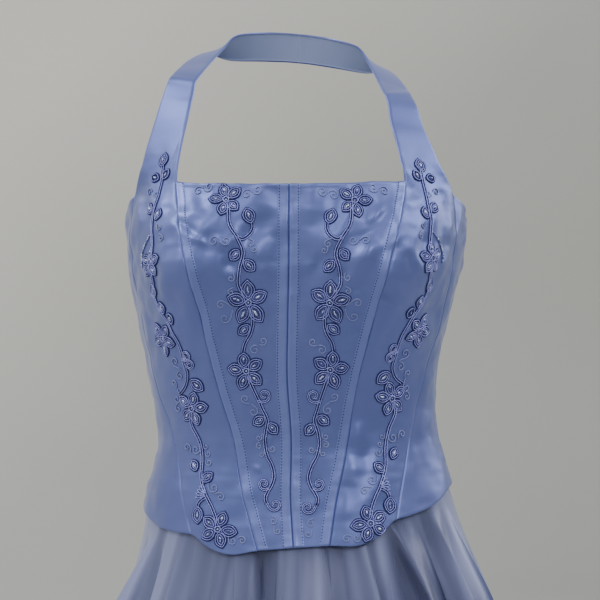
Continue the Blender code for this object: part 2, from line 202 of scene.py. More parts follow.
# Gathers that lap over themselves. swing is how far each swings out under the bodice, in degrees.
FINE_FOLDS = table(
    "angle half_width near far swing",
    (-84, 1.4, 0.0016, 0.006, 0),
    (-64, 5.0, 0.0090, 0.014, -6),
    (-57, 1.0, -0.0010, -0.004, -2),
    (-53, 2.6, 0.0070, 0.012, 1),
    (-43, 1.0, 0.0012, 0.005, 0),
    (-35, 1.0, 0.0012, 0.006, 0),
    (-26, 1.6, -0.0007, -0.004, 0),
    (-19, 1.4, 0.0008, 0.005, 1),
    (-10, 3.0, -0.0030, -0.006, 0),
    (-4, 1.0, 0.0005, 0.004, 0),
    (9, 1.0, 0.0004, 0.004, 1),
    (22, 1.2, -0.0004, -0.003, 2),
    (27, 1.0, 0.0010, 0.004, 4),
    (30, 2.4, 0.0065, 0.010, 11),
    (44, 1.0, 0.0014, 0.006, 8),
    (55, 3.6, 0.0036, 0.009, 8),
    (70, 1.0, 0.0014, 0.005, 4),
    (81, 1.2, 0.0012, 0.006, 0),
    (94, 1.4, -0.0012, -0.004, 0),
    (106, 1.2, 0.0014, 0.006, 0),
    (119, 2.6, 0.0022, 0.008, 5),
    (133, 1.1, 0.0012, 0.006, 0),
    (148, 1.4, -0.0014, -0.005, 0),
    (163, 2.0, 0.0020, 0.007, 3),
    (-99, 1.2, 0.0014, 0.006, 0),
    (-111, 1.4, -0.0012, -0.004, 0),
    (-128, 2.4, 0.0022, 0.008, -5),
    (-145, 1.1, -0.0012, -0.004, 0),
    (-159, 1.9, 0.0018, 0.007, -3),
    (-172, 1.0, -0.0010, -0.004, 0),
)
FOLD_HEIGHTS = (-0.425, -0.500, HEM)
LAP = 2.1  # over 1, a gather laps over itself
HEM_ROLL = 0.0014


def signed_power(value, exponent):
    return np.sign(value) * np.abs(value) ** exponent


def wrap(degrees):
    return (np.asarray(degrees, float) + 180) % 360 - 180


def form_point(degrees, height, inset=0.0):
    """A point of the form at an angle and a height, with its section shrunk evenly by inset."""
    turn = np.radians(degrees)
    sine, cosine = np.sin(turn), np.cos(turn)
    power = 2 / along(FORM, "square", height)
    depth = np.where(cosine > 0, along(FORM, "front", height), along(FORM, "back", height))
    from_cup = (np.abs(wrap(degrees)) - CUP_ANGLE) / CUP_SPREAD
    cup = along(FORM, "cup", height) * np.exp(-(from_cup**2))
    x = (along(FORM, "half_width", height) - inset) * signed_power(sine, power)
    y = -(depth - inset) * signed_power(cosine, power) - cup
    z = height + along(FORM, "tilt", height) * x
    return np.stack([x + along(FORM, "sway", height), y + AXIS_Y, z + 0 * y], axis=-1)


def bodice_point(degrees, drop):
    """A point of the bodice's outer face, drop down from its top edge to its hem."""
    across = np.abs(wrap(degrees))
    top, hem = along(EDGES, "top", across), along(EDGES, "hem", across)
    return form_point(degrees, top + drop * (hem - top))


def beside(degrees, drop, distance, reach=30, halvings=30):
    """The angle whose point lies a signed distance round the bodice from another's, by halving."""
    near, far = degrees + 0.0 * drop, degrees + np.sign(distance) * reach + 0.0 * drop
    start = bodice_point(degrees, drop)
    for _ in range(halvings):
        middle = (near + far) / 2
        short = np.linalg.norm(bodice_point(middle, drop) - start, axis=-1) < abs(distance)
        near, far = np.where(short, middle, near), np.where(short, far, middle)
    return near


def panel(inner, outer, side, rows, columns):
    """Rows of points of the panel between two named seams of one side, angles rising."""
    drops = np.linspace(0, 1, rows)
    seams = [side * along(SEAMS, name, drops) for name in (inner, outer)]
    if side < 0:
        seams.reverse()
    first = beside(seams[0], drops, SEAM_OPENING / 2)
    last = beside(seams[1], drops, -SEAM_OPENING / 2)
    share = np.linspace(0, 1, columns + 1)
    angles = first[:, None] + (last - first)[:, None] * share
    return bodice_point(angles, drops[:, None] + 0 * angles)


def strap_rows(side, steps, columns):
    """Rows across the halter strap from its base to the nape, in the same column order as its panel."""
    edges = []
    for edge in ("neck", "arm"):
        x = side * along(STRAP, edge + "_x", steps)
        y = AXIS_Y + along(STRAP, edge + "_depth", steps)
        z = along(STRAP, edge + "_height", steps)
        z = z + SHOULDER_TILT * x * share_of(z, *SHOULDER_RISE)
        edges.append(np.stack([x, y, z], axis=-1))
    if side < 0:
        edges.reverse()
    share = np.linspace(0, 1, columns + 1)[None, :, None]
    return edges[0][:, None] + (edges[1] - edges[0])[:, None] * share


def resampled(rows, step):
    """The rows re-read on a smooth curve down them, step apart in the mean."""
    gaps = np.linalg.norm(np.diff(rows, axis=0), axis=2).mean(axis=1)
    knots = np.concatenate([[0], np.cumsum(gaps)])
    return smooth_at(knots, rows, np.linspace(0, knots[-1], int(knots[-1] / step) + 1))


def eased(grid, level=-0.121, reach=0.013, rounds=60):
    """The grid with its turn from panel to strap eased."""
    weight = np.exp(-(((grid[1:-1, :, 2:] - level) / reach) ** 2))
    for _ in range(rounds):
        grid[1:-1] += weight * (grid[:-2] - 2 * grid[1:-1] + grid[2:]) / 4
    return grid


def normals_of(grid):
    return unit(np.cross(np.gradient(grid, axis=0), np.gradient(grid, axis=1)))


# Soft creases and swells of the satin's front: the middle of each, across from the centre front (+ is the
# wearer's left) and down from the nape, its heading clockwise from level, its length, width and height.
FRONT_CREASES = table(
    "across down heading length width height",
    (-104, 205, 84, 60, 7, 0.5),
    (-78, 330, 70, 70, 9, 0.4),
    (-66, 172, 118, 52, 10, 0.9),
    (-62, 222, 30, 30, 8, -0.6),
    (-55, 187, 24, 24, 5, 0.8),
    (-47, 205, 12, 20, 4, -0.5),
    (-26, 176, 128, 48, 8, -0.9),
    (-20, 212, 140, 30, 6, 0.5),
    (-24, 258, 6, 13, 2.6, 0.45),
    (-18, 303, 8, 12, 2.4, 0.40),
    (-18, 350, 14, 13, 2.6, 0.45),
    (-27, 375, 16, 12, 2.4, 0.40),
    (-48, 300, 12, 16, 3.0, 0.35),
    (18, 206, 150, 18, 3.5, 0.45),
    (24, 238, 20, 14, 3.0, 0.40),
    (30, 188, 108, 28, 6, 0.6),
    (46, 212, 140, 26, 5, -0.7),
    (52, 300, 165, 16, 3.0, 0.40),
    (56, 262, 150, 20, 4, 0.40),
    (57, 224, 166, 22, 4, -0.6),
    (64, 198, 122, 34, 7, 0.9),
    (66, 197, 128, 48, 9, 1.0),
    (74, 163, 132, 27, 3.5, 0.8),
    (100, 202, 82, 24, 3.2, -0.7),
    (107, 206, 78, 28, 4, 0.6),
    (58, 346, 104, 34, 8, 0.9),
    (64, 364, 118, 30, 6, -0.5),
    (52, 376, 108, 28, 8, 0.8),
    (46, 404, 100, 30, 7, 0.7),
    (66, 400, 98, 130, 18, 1.7),
    (-70, 406, 82, 110, 18, 1.2),
    (0, 190, 90, 150, 24, -1.9),
    (-48, 172, 106, 96, 15, 1.0),
    (-76, 209, 0, 120, 20, 1.5),
    (82, 210, 0, 130, 20, 1.5),
    (-85, 172, 36, 34, 3.2, -0.6),
    (-72, 186, 22, 30, 3.0, 0.5),
    (-41, 194, 62, 24, 2.6, -0.5),
    (64, 180, 150, 28, 2.6, -0.35),
    (46, 190, 118, 24, 2.6, -0.35),
    (46, 230, 165, 46, 12, 1.3),
    (88, 186, 138, 24, 2.8, 0.45),
    (-96, 40, 12, 70, 3.0, 0.35),
    (88, 52, -10, 70, 3.0, 0.35),
)
SIDE_CREASES = table(  # across is along the side, + towards the back, from the nape's own depth
    "across down heading length width height",
    (-60, 205, 28, 44, 6, 0.7),
    (-62, 250, 160, 40, 6, -0.6),
    (-66, 318, 12, 36, 5, 0.6),
    (-60, 362, 168, 34, 5, -0.5),
    (-84, 372, 20, 26, 4, 0.6),
    (-96, 300, 170, 24, 5, 0.5),
    (-78, 398, 6, 30, 5, 0.7),
    (-52, 392, 174, 30, 5, 0.5),
    (-104, 386, 0, 110, 22, 0.3),
)
BACK_CREASES = table(  # across is seen from behind, + towards the wearer's right
    "across down heading length width height",
    (-62, 212, 35, 46, 7, 0.8),
    (-34, 330, 12, 40, 5, 0.7),
    (-50, 372, 170, 44, 6, 0.8),
    (-22, 398, 8, 26, 4, 0.6),
    (28, 318, 166, 34, 5, 0.6),
    (46, 362, 10, 46, 6, 0.9),
    (58, 222, 150, 44, 7, 0.7),
    (24, 392, 172, 28, 4, 0.6),
    (18, 250, 80, 40, 7, -0.5),
)


def creased(across, down, rows):
    """The sum of the soft creases at places in millimetres, in metres."""
    total = 0.0 * across
    for a, d, heading, length, width, height in zip(*rows.values()):
        turn = math.radians(heading)
        run = (across - a) * math.cos(turn) + (down - d) * math.sin(turn)
        off = (down - d) * math.cos(turn) - (across - a) * math.sin(turn)
        taper = np.clip(1 - (2 * run / length) ** 2, 0, 1) ** 2
        total = total + height * taper * np.exp(-((off / width) ** 2))
    return total * MM


def ripple(points, wavelength, seed):
    """Smooth noise from -1 to 1 at points."""
    flat = points.reshape(-1, 3) / wavelength
    values = [noise.noise(Vector((x + seed, y, z))) for x, y, z in flat]
    return np.array(values).reshape(points.shape[:-1])


SEAM_DIP, SEAM_REACH = 0.00035, 0.0010  # how deep a panel's edges roll in to their seams, and how far


def seam_dip(grid):
    """How far in each point of a panel lies where it rolls in to the seams at its two sides."""
    across = arc_lengths(grid, 1)
    from_edge = np.minimum(across, across[:, -1:] - across)
    return SEAM_DIP * np.exp(-((from_edge / SEAM_REACH) ** 2))


LEAN = table(  # how far the top edge and the strap's base lean in over the bust's side
    "angle depth",
    (34, 0.0),
    (52, 6.0),
    (80, 6.0),
    (100, 3.5),
    (128, 0.0),
)
LEAN_SHARE = table(
    "height share",
    (-0.232, 0.0),
    (-0.190, 0.12),
    (-0.140, 0.50),
    (-0.100, 1.0),
    (-0.080, 1.0),
    (0.005, 0.0),
)
TOP_ROLL, TOP_ROLL_REACH = 0.0006, 0.0013  # the rolled top edge
UNDER_STRAP = (-0.095, -0.140)  # the satin's unevenness grows down between these heights
WAIST_TO_BUST = (-0.310, -0.250)  # and is stronger above these
UNEVEN = (0.04, 0.44, 0.52)  # how uneven it is on the strap, how much more below it, and over the bust
SLANT = np.array([[1.2, 0, 0.35], [0, 1, 0], [-0.45, 0, 0.8]])  # most swells lie slantwise
SWELLS = ((0.0015, 0.030, 3.0), (0.0017, 0.017, 12.0))  # height, wavelength and seed
FINE_SWELL = (0.0004, 0.0095, 5.0)
PUCKER = (0.00018, 0.022, 8.0)  # level ones, pressed together by PUCKER_PRESS
PUCKER_PRESS = 4.2


def lean_in(grid):
    """How far in each point leans over the bust's side."""
    across = np.degrees(np.abs(np.arctan2(grid[..., 0], AXIS_Y - grid[..., 1])))
    depth = np.interp(across, LEAN["angle"], LEAN["depth"] * MM)
    return depth * along(LEAN_SHARE, "share", grid[..., 2])


def relieved(grid, creases, way=(1, 0), top_roll=True, pull=2.4):
    """The grid with its creases, its slight unevenness and the pull of its seams.

    way is what the creases' across follows, and pull is how strong they are.
    """
    level = grid[..., 2]
    below_strap = share_of(level, *UNDER_STRAP)
    on_strap, below, over_bust = UNEVEN
    uneven = on_strap + (below + over_bust * share_of(level, *WAIST_TO_BUST)) * below_strap
    out = FINE_SWELL[0] * ripple(grid, *FINE_SWELL[1:])
    for height, *wave in SWELLS:
        out = out + height * ripple(grid @ SLANT, *wave)
    out = uneven * out + below_strap * PUCKER[0] * ripple(grid * [1, 1, PUCKER_PRESS], *PUCKER[1:])
    if top_roll:
        from_top = arc_lengths(grid, 0)
        out = out + TOP_ROLL * np.exp(-(((from_top - TOP_ROLL_REACH) / TOP_ROLL_REACH) ** 2))
    out = out + pull * creased(grid[..., :2] @ way / MM, -level / MM, creases)
    out = out - seam_dip(grid) - lean_in(grid)
    return grid + out[..., None] * normals_of(grid)


def arc_lengths(grid, axis):
    """How far along its row or column each point of a grid lies."""
    steps = np.cumsum(np.linalg.norm(np.diff(grid, axis=axis), axis=2), axis=axis)
    return np.concatenate([np.zeros_like(np.take(steps, [0], axis)), steps], axis=axis)


def add_object(name, verts, faces, finishes, uvs=None):
    """A smooth mesh object with its finishes. uvs are a pair for each vertex, in metres."""
    mesh = bpy.data.meshes.new(name)
    mesh.from_pydata(np.asarray(verts).tolist(), [], faces)
    for finish in finishes:
        mesh.materials.append(finish)
    if uvs is not None:
        loops = np.zeros(len(mesh.loops), np.int32)
        mesh.loops.foreach_get("vertex_index", loops)
        mesh.uv_layers.new(name="cloth").data.foreach_set("uv", np.asarray(uvs, np.float32)[loops].ravel())
    mesh.shade_smooth()
    made = bpy.data.objects.new(name, mesh)
    bpy.context.scene.collection.objects.link(made)
    return made


def grid_faces(height, width, start=0):
    """Faces between the rows and columns of a grid of points."""
    i, j = np.meshgrid(np.arange(height - 1), np.arange(width - 1), indexing="ij")
    first = (start + i * width + j).ravel()
    return np.stack([first, first + width, first + width + 1, first + 1], axis=1).tolist()


TURN_IN, TURN_UNDER = 0.0011, 0.0009  # a seam allowance's step in from its panel, and its reach past the seam


def turned_in(grid):
    """The grid with its side edges turned in under the neighbouring panels."""
    normals = normals_of(grid)
    sides = []
    for edge, beside_it in ((0, 1), (-1, -2)):
        out = unit(grid[:, edge] - grid[:, beside_it])
        sides.append((grid[:, edge] - TURN_IN * normals[:, edge] + TURN_UNDER * out)[:, None])
    return np.concatenate([sides[0], grid, sides[1]], axis=1)


def cloth(name, grid, finishes):
    """A sheet on a grid of points."""
    uvs = np.stack([arc_lengths(grid, 1), arc_lengths(grid, 0)], axis=-1).reshape(-1, 2)
    return add_object(name, grid.reshape(-1, 3), grid_faces(*grid.shape[:2]), finishes, uvs)


def give_wall(piece, wall, rounding):
    """Closes a sheet, with rounded edges and its second finish inside."""
    solidify = piece.modifiers.new("wall", "SOLIDIFY")
    solidify.thickness = wall
    solidify.offset = -1.0
    solidify.use_even_offset = True
    solidify.material_offset = 1
    solidify.material_offset_rim = 0
    bevel = piece.modifiers.new("rounded_edges", "BEVEL")
    bevel.width = rounding
    bevel.segments = 2
    bevel.limit_method = "ANGLE"
    bevel.angle_limit = math.radians(60)


def tube_faces(count, around, closed=False, start=0):
    """Faces along rings of points, capped at both ends or closed end to end."""
    ring = np.arange(count if closed else count - 1)[:, None] * around
    after = (ring + around) % (count * around)
    here, turned = np.arange(around), (np.arange(around) + 1) % around
    corners = np.stack([ring + here, ring + turned, after + turned, after + here], axis=-1)
    faces = (start + corners).reshape(-1, 4).tolist()
    if not closed:
        faces.append([start + k for k in range(around)][::-1])
        faces.append([start + (count - 1) * around + k for k in range(around)])
    return faces


# Materials -------------------------------------------------------------------------------------------------


class Shader:
    """A node material built around one Principled shader."""

    def __init__(self, name, **sockets):
        self.material = bpy.data.materials.new(name)
        self.material.use_nodes = True
        self.tree = self.material.node_tree
        self.surface = self.tree.nodes["Principled BSDF"]
        for socket, value in sockets.items():
            self.surface.inputs[socket.replace("_", " ")].default_value = value

    def node(self, kind, inputs=(), **settings):
        made = self.tree.nodes.new(kind)
        for key, value in settings.items():
            setattr(made, key, value)
        for key, value in dict(inputs).items():
            if hasattr(value, "is_output"):
                self.tree.links.new(value, made.inputs[key])
            else:
                made.inputs[key].default_value = value
        return made

    def link(self, output, socket):
        self.tree.links.new(output, self.surface.inputs[socket])

    def scaled(self, place, scale):
        return self.node("ShaderNodeMapping", {"Vector": place, "Scale": scale}).outputs["Vector"]

    def uv(self, scale):
        return self.scaled(self.node("ShaderNodeUVMap", uv_map="cloth").outputs["UV"], scale)

    def object_place(self, scale=(1, 1, 1)):
        return self.scaled(self.node("ShaderNodeTexCoord").outputs["Object"], scale)

    def noise(self, place, scale, detail=2.0, roughness=0.5):
        settings = {"Vector": place, "Scale": scale, "Detail": detail, "Roughness": roughness}
        return self.node("ShaderNodeTexNoise", settings).outputs["Fac"]

    def ramp(self, fac, *stops):
        made = self.node("ShaderNodeValToRGB", {"Fac": fac})
        elements = made.color_ramp.elements
        while len(elements) < len(stops):
            elements.new(0.5)
        for element, (position, colour) in zip(elements, stops):
            element.position = position
            element.color = (*colour, 1.0)
        return made.outputs["Color"]

    def bump(self, height, strength, distance, under=None):
        settings = {"Height": height, "Strength": strength, "Distance": distance}
        if under is not None:
            settings["Normal"] = under
        return self.node("ShaderNodeBump", settings).outputs["Normal"]

    def math(self, operation, a, b=0.0):
        return self.node("ShaderNodeMath", {0: a, 1: b}, operation=operation).outputs[0]

    def mean(self, a, b, share=0.5):
        """The two mixed, with a share of the first."""
        return self.math("ADD", self.math("MULTIPLY", a, share), self.math("MULTIPLY", b, 1 - share))

    def colour(self, fac, *stops, socket="Base Color"):
        """A ramp of colours on one of the surface's sockets."""
        self.link(self.ramp(fac, *stops), socket)


def satin_material(name, dark, light, **sockets):
    """Duchess satin: long floats across the cloth, a soft wide sheen and faint slubs."""
    sheen = dict(Roughness=0.35, Metallic=0.62, Anisotropic=0.40, Anisotropic_Rotation=0.25,
                 Sheen_Weight=0.20, Sheen_Roughness=0.4, Sheen_Tint=(0.75, 0.82, 1.0, 1.0))
    shader = Shader(name, **(sheen | sockets))
    cloud = shader.noise(shader.object_place(), 14.0, 3.0)
    floats = shader.noise(shader.uv((500, 5200, 1)), 1.0, 2.0)
    slubs = shader.noise(shader.uv((30, 900, 1)), 1.0, 2.0)
    shader.colour(shader.mean(cloud, floats, 0.6), (0.30, dark), (0.72, light))
    shader.link(shader.bump(slubs, 0.06, 0.0002, shader.bump(floats, 0.10, 0.00008)), "Normal")
    return shader.material


PAINTED_FOLD_BANDS = table(  # painted highlights and shade along the organza's folds, in degrees round the skirt
    "angle width amount",
    (-61, 3.0, -0.28),
    (-54, 2.4, 0.42),
    (-44, 5.0, -0.15),
    (38, 3.0, 0.38),
    (44, 4.0, 0.15),
    (60, 4.5, -0.25),
    (75, 4.0, 0.22),
)


def organza_material():
    """Sheer organza: a plain weave of fine twisted threads, mostly open, glossy along its folds.

    The threads lie closer in long random streaks. In painted light it is also lighter and denser towards the
    sides and along bands that stand for its fold highlights, and darker along bands that stand for fold
    shade.
    """
    shader = Shader("organza", Roughness=0.30, Metallic=0.25, Sheen_Weight=0.7, Sheen_Roughness=0.30,
                    Sheen_Tint=(0.70, 0.77, 1.0, 1.0))
    place = shader.node("ShaderNodeSeparateXYZ", {0: shader.object_place()}).outputs
    round_it = shader.math("ARCTAN2", place["X"], shader.math("SUBTRACT", AXIS_Y, place["Y"]))
    down_it = shader.math("MULTIPLY", place["Z"], 0.22)
    streaks = shader.node("ShaderNodeCombineXYZ", {"X": round_it, "Y": down_it}).outputs["Vector"]
    # Painted light: a term that lightens the organza and makes it more opaque towards its sides.
    painted_side_light = shader.math("POWER", shader.math("SINE", shader.math("SUBTRACT", round_it, 0.25)), 4.0)
    crowding_and_painted_light = shader.noise(streaks, 6.0, 1.6, 0.5)
    crowding_and_painted_light = shader.math("ADD", crowding_and_painted_light, shader.math("MULTIPLY", painted_side_light, 0.62))
    # Painted highlights and shade: bands round the skirt that lighten or darken it along its folds.
    for angle, width, amount in zip(*PAINTED_FOLD_BANDS.values()):
        off = shader.math("SUBTRACT", round_it, math.radians(angle))
        off = shader.math("DIVIDE", off, math.radians(width))
        bell = shader.math("EXPONENT", shader.math("MULTIPLY", shader.math("MULTIPLY", off, off), -1.0))
        crowding_and_painted_light = shader.math("ADD", crowding_and_painted_light, shader.math("MULTIPLY", bell, amount))
    # Colour and opacity both rise with the sum above, painted light included.
    shader.colour(crowding_and_painted_light, (0.44, (0.126, 0.143, 0.286)), (1.0, (0.285, 0.320, 0.560)))
    shader.colour(crowding_and_painted_light, (0.44, (0.52, 0.52, 0.52)), (1.0, (0.88, 0.88, 0.88)), socket="Alpha")
    threads = shader.noise(shader.uv((4000, 4000, 1)), 1.0, 1.0)
    crumple = shader.noise(shader.object_place((1, 1, 0.25)), 60.0, 3.0)
    shader.link(shader.bump(crumple, 0.15, 0.0012, shader.bump(threads, 0.05, 0.0001)), "Normal")
    return shader.material


def lining_material():
    shader = Shader("skirt_lining", Roughness=0.45, Metallic=0.12, Sheen_Weight=0.3, Sheen_Roughness=0.4)
    cloud = shader.noise(shader.object_place(), 8.0, 3.0)
    shader.colour(cloud, (0.2, (0.022, 0.025, 0.066)), (0.8, (0.032, 0.036, 0.088)))
    twill = shader.noise(shader.uv((900, 4200, 1)), 1.0, 2.0)
    shader.link(shader.bump(twill, 0.04, 0.0001), "Normal")
    return shader.material


def thread_material(name, dark, light, twist, **sockets):
    """Shiny twisted thread or braid: slanting plies along the cord."""
    gloss = dict(Roughness=0.34, Metallic=0.25, Sheen_Weight=0.25, Sheen_Roughness=0.3)
    shader = Shader(name, **(gloss | sockets))
    wave = shader.node(
        "ShaderNodeTexWave",
        {"Vector": shader.uv((twist, 1, 1)), "Scale": 1.0, "Distortion": 0.6, "Detail": 1.0},
        wave_type="BANDS", bands_direction="DIAGONAL",
    ).outputs["Fac"]
    cloud = shader.noise(shader.object_place(), 60.0, 2.0)
    shader.colour(shader.mean(wave, cloud), (0.25, dark), (0.75, light))
    shader.link(shader.bump(wave, 0.5, 0.0002), "Normal")
    return shader.material


def grained_material(name, grain, low, high, bump=None, stretch=(1, 1, 1), **sockets):
    """A finish with one grain: its noise, the stops of its colour, and how it stands up."""
    shader = Shader(name, **sockets)
    fac = shader.noise(shader.object_place(stretch), *grain)
    shader.colour(fac, low, high)
    if bump:
        shader.link(shader.bump(fac, *bump), "Normal")
    return shader.material


def studio_material():
    """Pale paint with a soft glow that keeps the corners even; the glow is painted light, brightest towards
    the wearer's right and up the wall.
    """
    shader = Shader("studio_paint_with_painted_glow", Roughness=0.95, Emission_Strength=0.26)
    place = shader.object_place()
    way = {0: place, 1: (1.0, 0.0, -1.1)}
    fall = shader.node("ShaderNodeVectorMath", way, operation="DOT_PRODUCT").outputs["Value"]
    span = {"Value": fall, "From Min": -2.6, "From Max": 2.6}
    share = shader.node("ShaderNodeMapRange", span).outputs["Result"]
    # Painted light: the glow runs from bright to dim across the sweep, as if the wall were lit from the
    # wearer's right and from above.
    stops = (0.0, (1.25, 1.20, 1.08)), (0.45, (0.44, 0.43, 0.40)), (1.0, (0.12, 0.12, 0.10))
    shader.colour(share, *stops, socket="Emission Color")
    cloud = shader.noise(place, 0.5, 2.0)
    shader.colour(cloud, (0.3, (0.47, 0.47, 0.445)), (0.7, (0.52, 0.52, 0.495)))
    return shader.material


SATIN_FACE = satin_material("satin", (0.118, 0.154, 0.420), (0.148, 0.184, 0.470))
# Painted light: the boning channels' strips are the same satin in a lighter copy, standing for the light
# their raised ridges catch.
SATIN_STRIP_PAINTED_LIGHT = satin_material("satin_strips_painted_light", (0.152, 0.196, 0.508), (0.186, 0.231, 0.565))
SATIN_BACK = satin_material(
    "bodice_inside", (0.21, 0.26, 0.46), (0.26, 0.31, 0.52), Roughness=0.55, Metallic=0.0)
ORGANZA = organza_material()
LINING = lining_material()
CORD = thread_material(
    "soutache", (0.235, 0.255, 0.660), (0.400, 0.430, 0.920), 900, Metallic=0.6, Roughness=0.26)
DULL = dict(Roughness=0.8, Metallic=0.0, Sheen_Weight=0.0, Specular_IOR_Level=0.08)
# Painted shade: the braids' core is dull and nearly black blue, so that it reads as the shade in their
# grooves and along their edges.
CORE_AND_PAINTED_SHADE = thread_material("braid_core_painted_shade", (0.012, 0.015, 0.085), (0.030, 0.035, 0.150), 900, **DULL)
PADDING = thread_material("petal_padding", (0.028, 0.034, 0.150), (0.100, 0.114, 0.340), 1200, Metallic=0.3)
THREAD = thread_material("embroidery_thread", (0.180, 0.210, 0.480), (0.290, 0.330, 0.640), 1500)
# Painted shade: the channel topstitches are dark and dull, standing for needle holes in shadow.
STITCH = thread_material("topstitch", (0.012, 0.020, 0.080), (0.022, 0.036, 0.130), 1500, **DULL)
# Partly painted highlights: the beads' colour noise runs from dark blue glass to near-white patches that
# stand for glints, besides their real gloss.
BEAD = grained_material(
    "bead_glass_painted_glints", (520.0, 2.0), (0.42, (0.04, 0.06, 0.30)), (0.56, (0.62, 0.70, 1.0)),
    Roughness=0.06, Metallic=0.55, Coat_Weight=0.6, Coat_Roughness=0.03)
TAPE = grained_material(
    "zip_tape_weave", (1300.0, 2.0), (0.3, (0.14, 0.19, 0.42)), (0.7, (0.22, 0.28, 0.55)), (0.4, 0.0002),
    (1, 1, 3), Roughness=0.8, Sheen_Weight=0.2)
LACQUER = grained_material(
    "zip_lacquer", (700.0, 4.0, 0.6), (0.4, (0.20, 0.26, 0.50)), (0.75, (0.46, 0.50, 0.62)), (0.15, 0.0001),
    Roughness=0.32, Metallic=0.8, Coat_Weight=0.4)

# Bodice ----------------------------------------------------------------------------------------------------

HANDS = ((1, "left"), (-1, "right"))
CHANNEL_WIDTH = 0.0092
CHANNEL_PROFILE = table(  # share of the channel's width, and height over the panel in millimetres
    "share height",
    (0.00, 0.05),
    (0.05, 0.62),
    (0.12, 0.96),
    (0.22, 1.02),
    (0.32, 0.84),
    (0.45, 0.62),
    (0.72, 0.50),
    (0.87, 0.36),
    (0.95, 0.22),
    (1.00, 0.08),
)
STITCH_SHARE = 0.87  # the topstitch's place across the channel
CHANNEL_CLEAR = 0.00003  # its underside's height over the panel
CHANNEL_PUCKER = (0.00016, 0.0042)  # how high and how long its puckers are
PUCKER_FROM = 0.3  # they are full from this share of its width on
STITCH_RING = [(math.cos(t), math.sin(t)) for t in np.radians([0, 60, 120, 180, 240, 300])]
STITCH_SWELL = ((0.0, 0.4), (0.2, 1.0), (0.8, 1.0), (1.0, 0.4))  # shares of its length and of its thickness


def across_edge(grid, from_last, distances):
    """Points and normals in each row at distances from one edge of a grid."""
    points, facing = [], []
    for row, normal in zip(grid, normals_of(grid)):
        if from_last:
            row, normal = row[::-1], normal[::-1]
        lengths = lengths_along(row)
        points.append(read_at(distances, lengths, row))
        facing.append(read_at(distances, lengths, normal))
    return np.array(points), np.array(facing)


def channel(name, grid, from_last, seed):
    """A topstitched boning channel, a soft ridge that lies along one edge of its panel."""
    share, height = CHANNEL_PROFILE["share"], CHANNEL_PROFILE["height"] * MM
    distances = SEAM_OPENING / 2 + share * (CHANNEL_WIDTH - SEAM_OPENING / 2)
    points, facing = across_edge(grid, from_last, distances)
    rise, wavelength = CHANNEL_PUCKER
    pucker = rise * ripple(points[:, :1] * [0, 0, 1], wavelength, seed) * share_of(share, 0, PUCKER_FROM)
    top = points + facing * (height + pucker)[..., None]
    under = points[:, [-1, 0]] + facing[:, [-1, 0]] * CHANNEL_CLEAR
    rings = np.concatenate([top, under], axis=1)
    if from_last:
        rings = rings[:, ::-1]
    width = np.concatenate([distances, distances[[-1, 0]]])
    lengths = lengths_along(points[:, 0])
    uvs = np.stack(np.broadcast_arrays(width[None, :], lengths[:, None]), axis=-1).reshape(-1, 2)
    made = add_object(name, rings.reshape(-1, 3), tube_faces(*rings.shape[:2]), [SATIN_STRIP_PAINTED_LIGHT], uvs)
    line = np.argmin(abs(share - STITCH_SHARE))
    return made, top[:, line], facing[:, line]


def stitch_boxes(points, facing, length=0.0011, pitch=0.0025, width=0.00090, height=0.00050):
    """Small bars for the stitches along a line, as vertices and faces."""
    lengths = lengths_along(points)
    verts, faces = [], []
    for start in np.arange(pitch / 2, lengths[-1] - pitch, pitch):
        line = [(read_at(start + length * share, lengths, points), swell) for share, swell in STITCH_SWELL]
        up = read_at(start, lengths, facing)
        side = unit(np.cross(up, line[-1][0] - line[0][0]))
        faces += tube_faces(len(line), len(STITCH_RING), start=len(verts))
        for centre, swell in line:
            verts += [centre + (side * c * width + up * s * height) * swell / 2 for c, s in STITCH_RING]
    return verts, faces


def sewn_panel(name, hand, grid):
    """One of the bodice's panels, with its edges turned in."""
    piece = cloth(f"{name}_{hand}_satin", turned_in(grid), [SATIN_FACE, SATIN_BACK])
    give_wall(piece, SATIN, EDGE_ROUND)
    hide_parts(f"{name}_{hand}")
    return piece


def build_bodice():
    """Panels, straps and channels of both sides. Returns the front's grids, for what is sewn on them."""
    fronts, verts, faces = [], [], []
    for side, hand in HANDS:
        front = relieved(panel("centre", "princess", side, 190, 56), FRONT_CREASES)
        pieces = [sewn_panel("front_panel", hand, front)]
        for name, at_last in (("centre", side < 0), ("princess", side > 0)):
            strip, line, facing = channel(f"{name}_channel_{hand}_satin", front, at_last, side + at_last)
            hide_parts(f"{name}_channel_{hand}")
            pieces.append(strip)
            more, corners = stitch_boxes(line, facing)
            faces += [[i + len(verts) for i in face] for face in corners]
            verts += more
        side_front = panel("princess", "side_front", side, 26, 46)
        strap = strap_rows(side, np.linspace(1, STRAP["step"][-1], 34), 46)
        halter = eased(resampled(np.concatenate([strap[::-1], side_front]), HALTER_STEP))
        halter = relieved(halter, FRONT_CREASES, top_roll=False)
        pieces.append(sewn_panel("side_front_halter", hand, halter))
        rows = relieved(panel("side_front", "side_back", side, 124, 44), SIDE_CREASES, (0, 1), pull=1.5)
        pieces.append(sewn_panel("side_panel", hand, rows))
        rows = relieved(panel("side_back", "back", side, 90, 48), BACK_CREASES, (-1, 0))
        pieces.append(sewn_panel("back_panel", hand, rows))
        for piece in pieces:
            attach(piece, "dress")
        fronts += [front, halter]
    stitched = add_object("channel_topstitches_painted_shade", verts, faces, [STITCH], np.array(verts)[:, [2, 0]])
    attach(stitched, "dress")
    return fronts


# Embroidery ------------------------------------------------------------------------------------------------
# Places are in millimetres: across from the centre front, and down from the nape, on the wearer's right.
# Headings are in degrees clockwise from up, so a positive one leans towards the centre front.

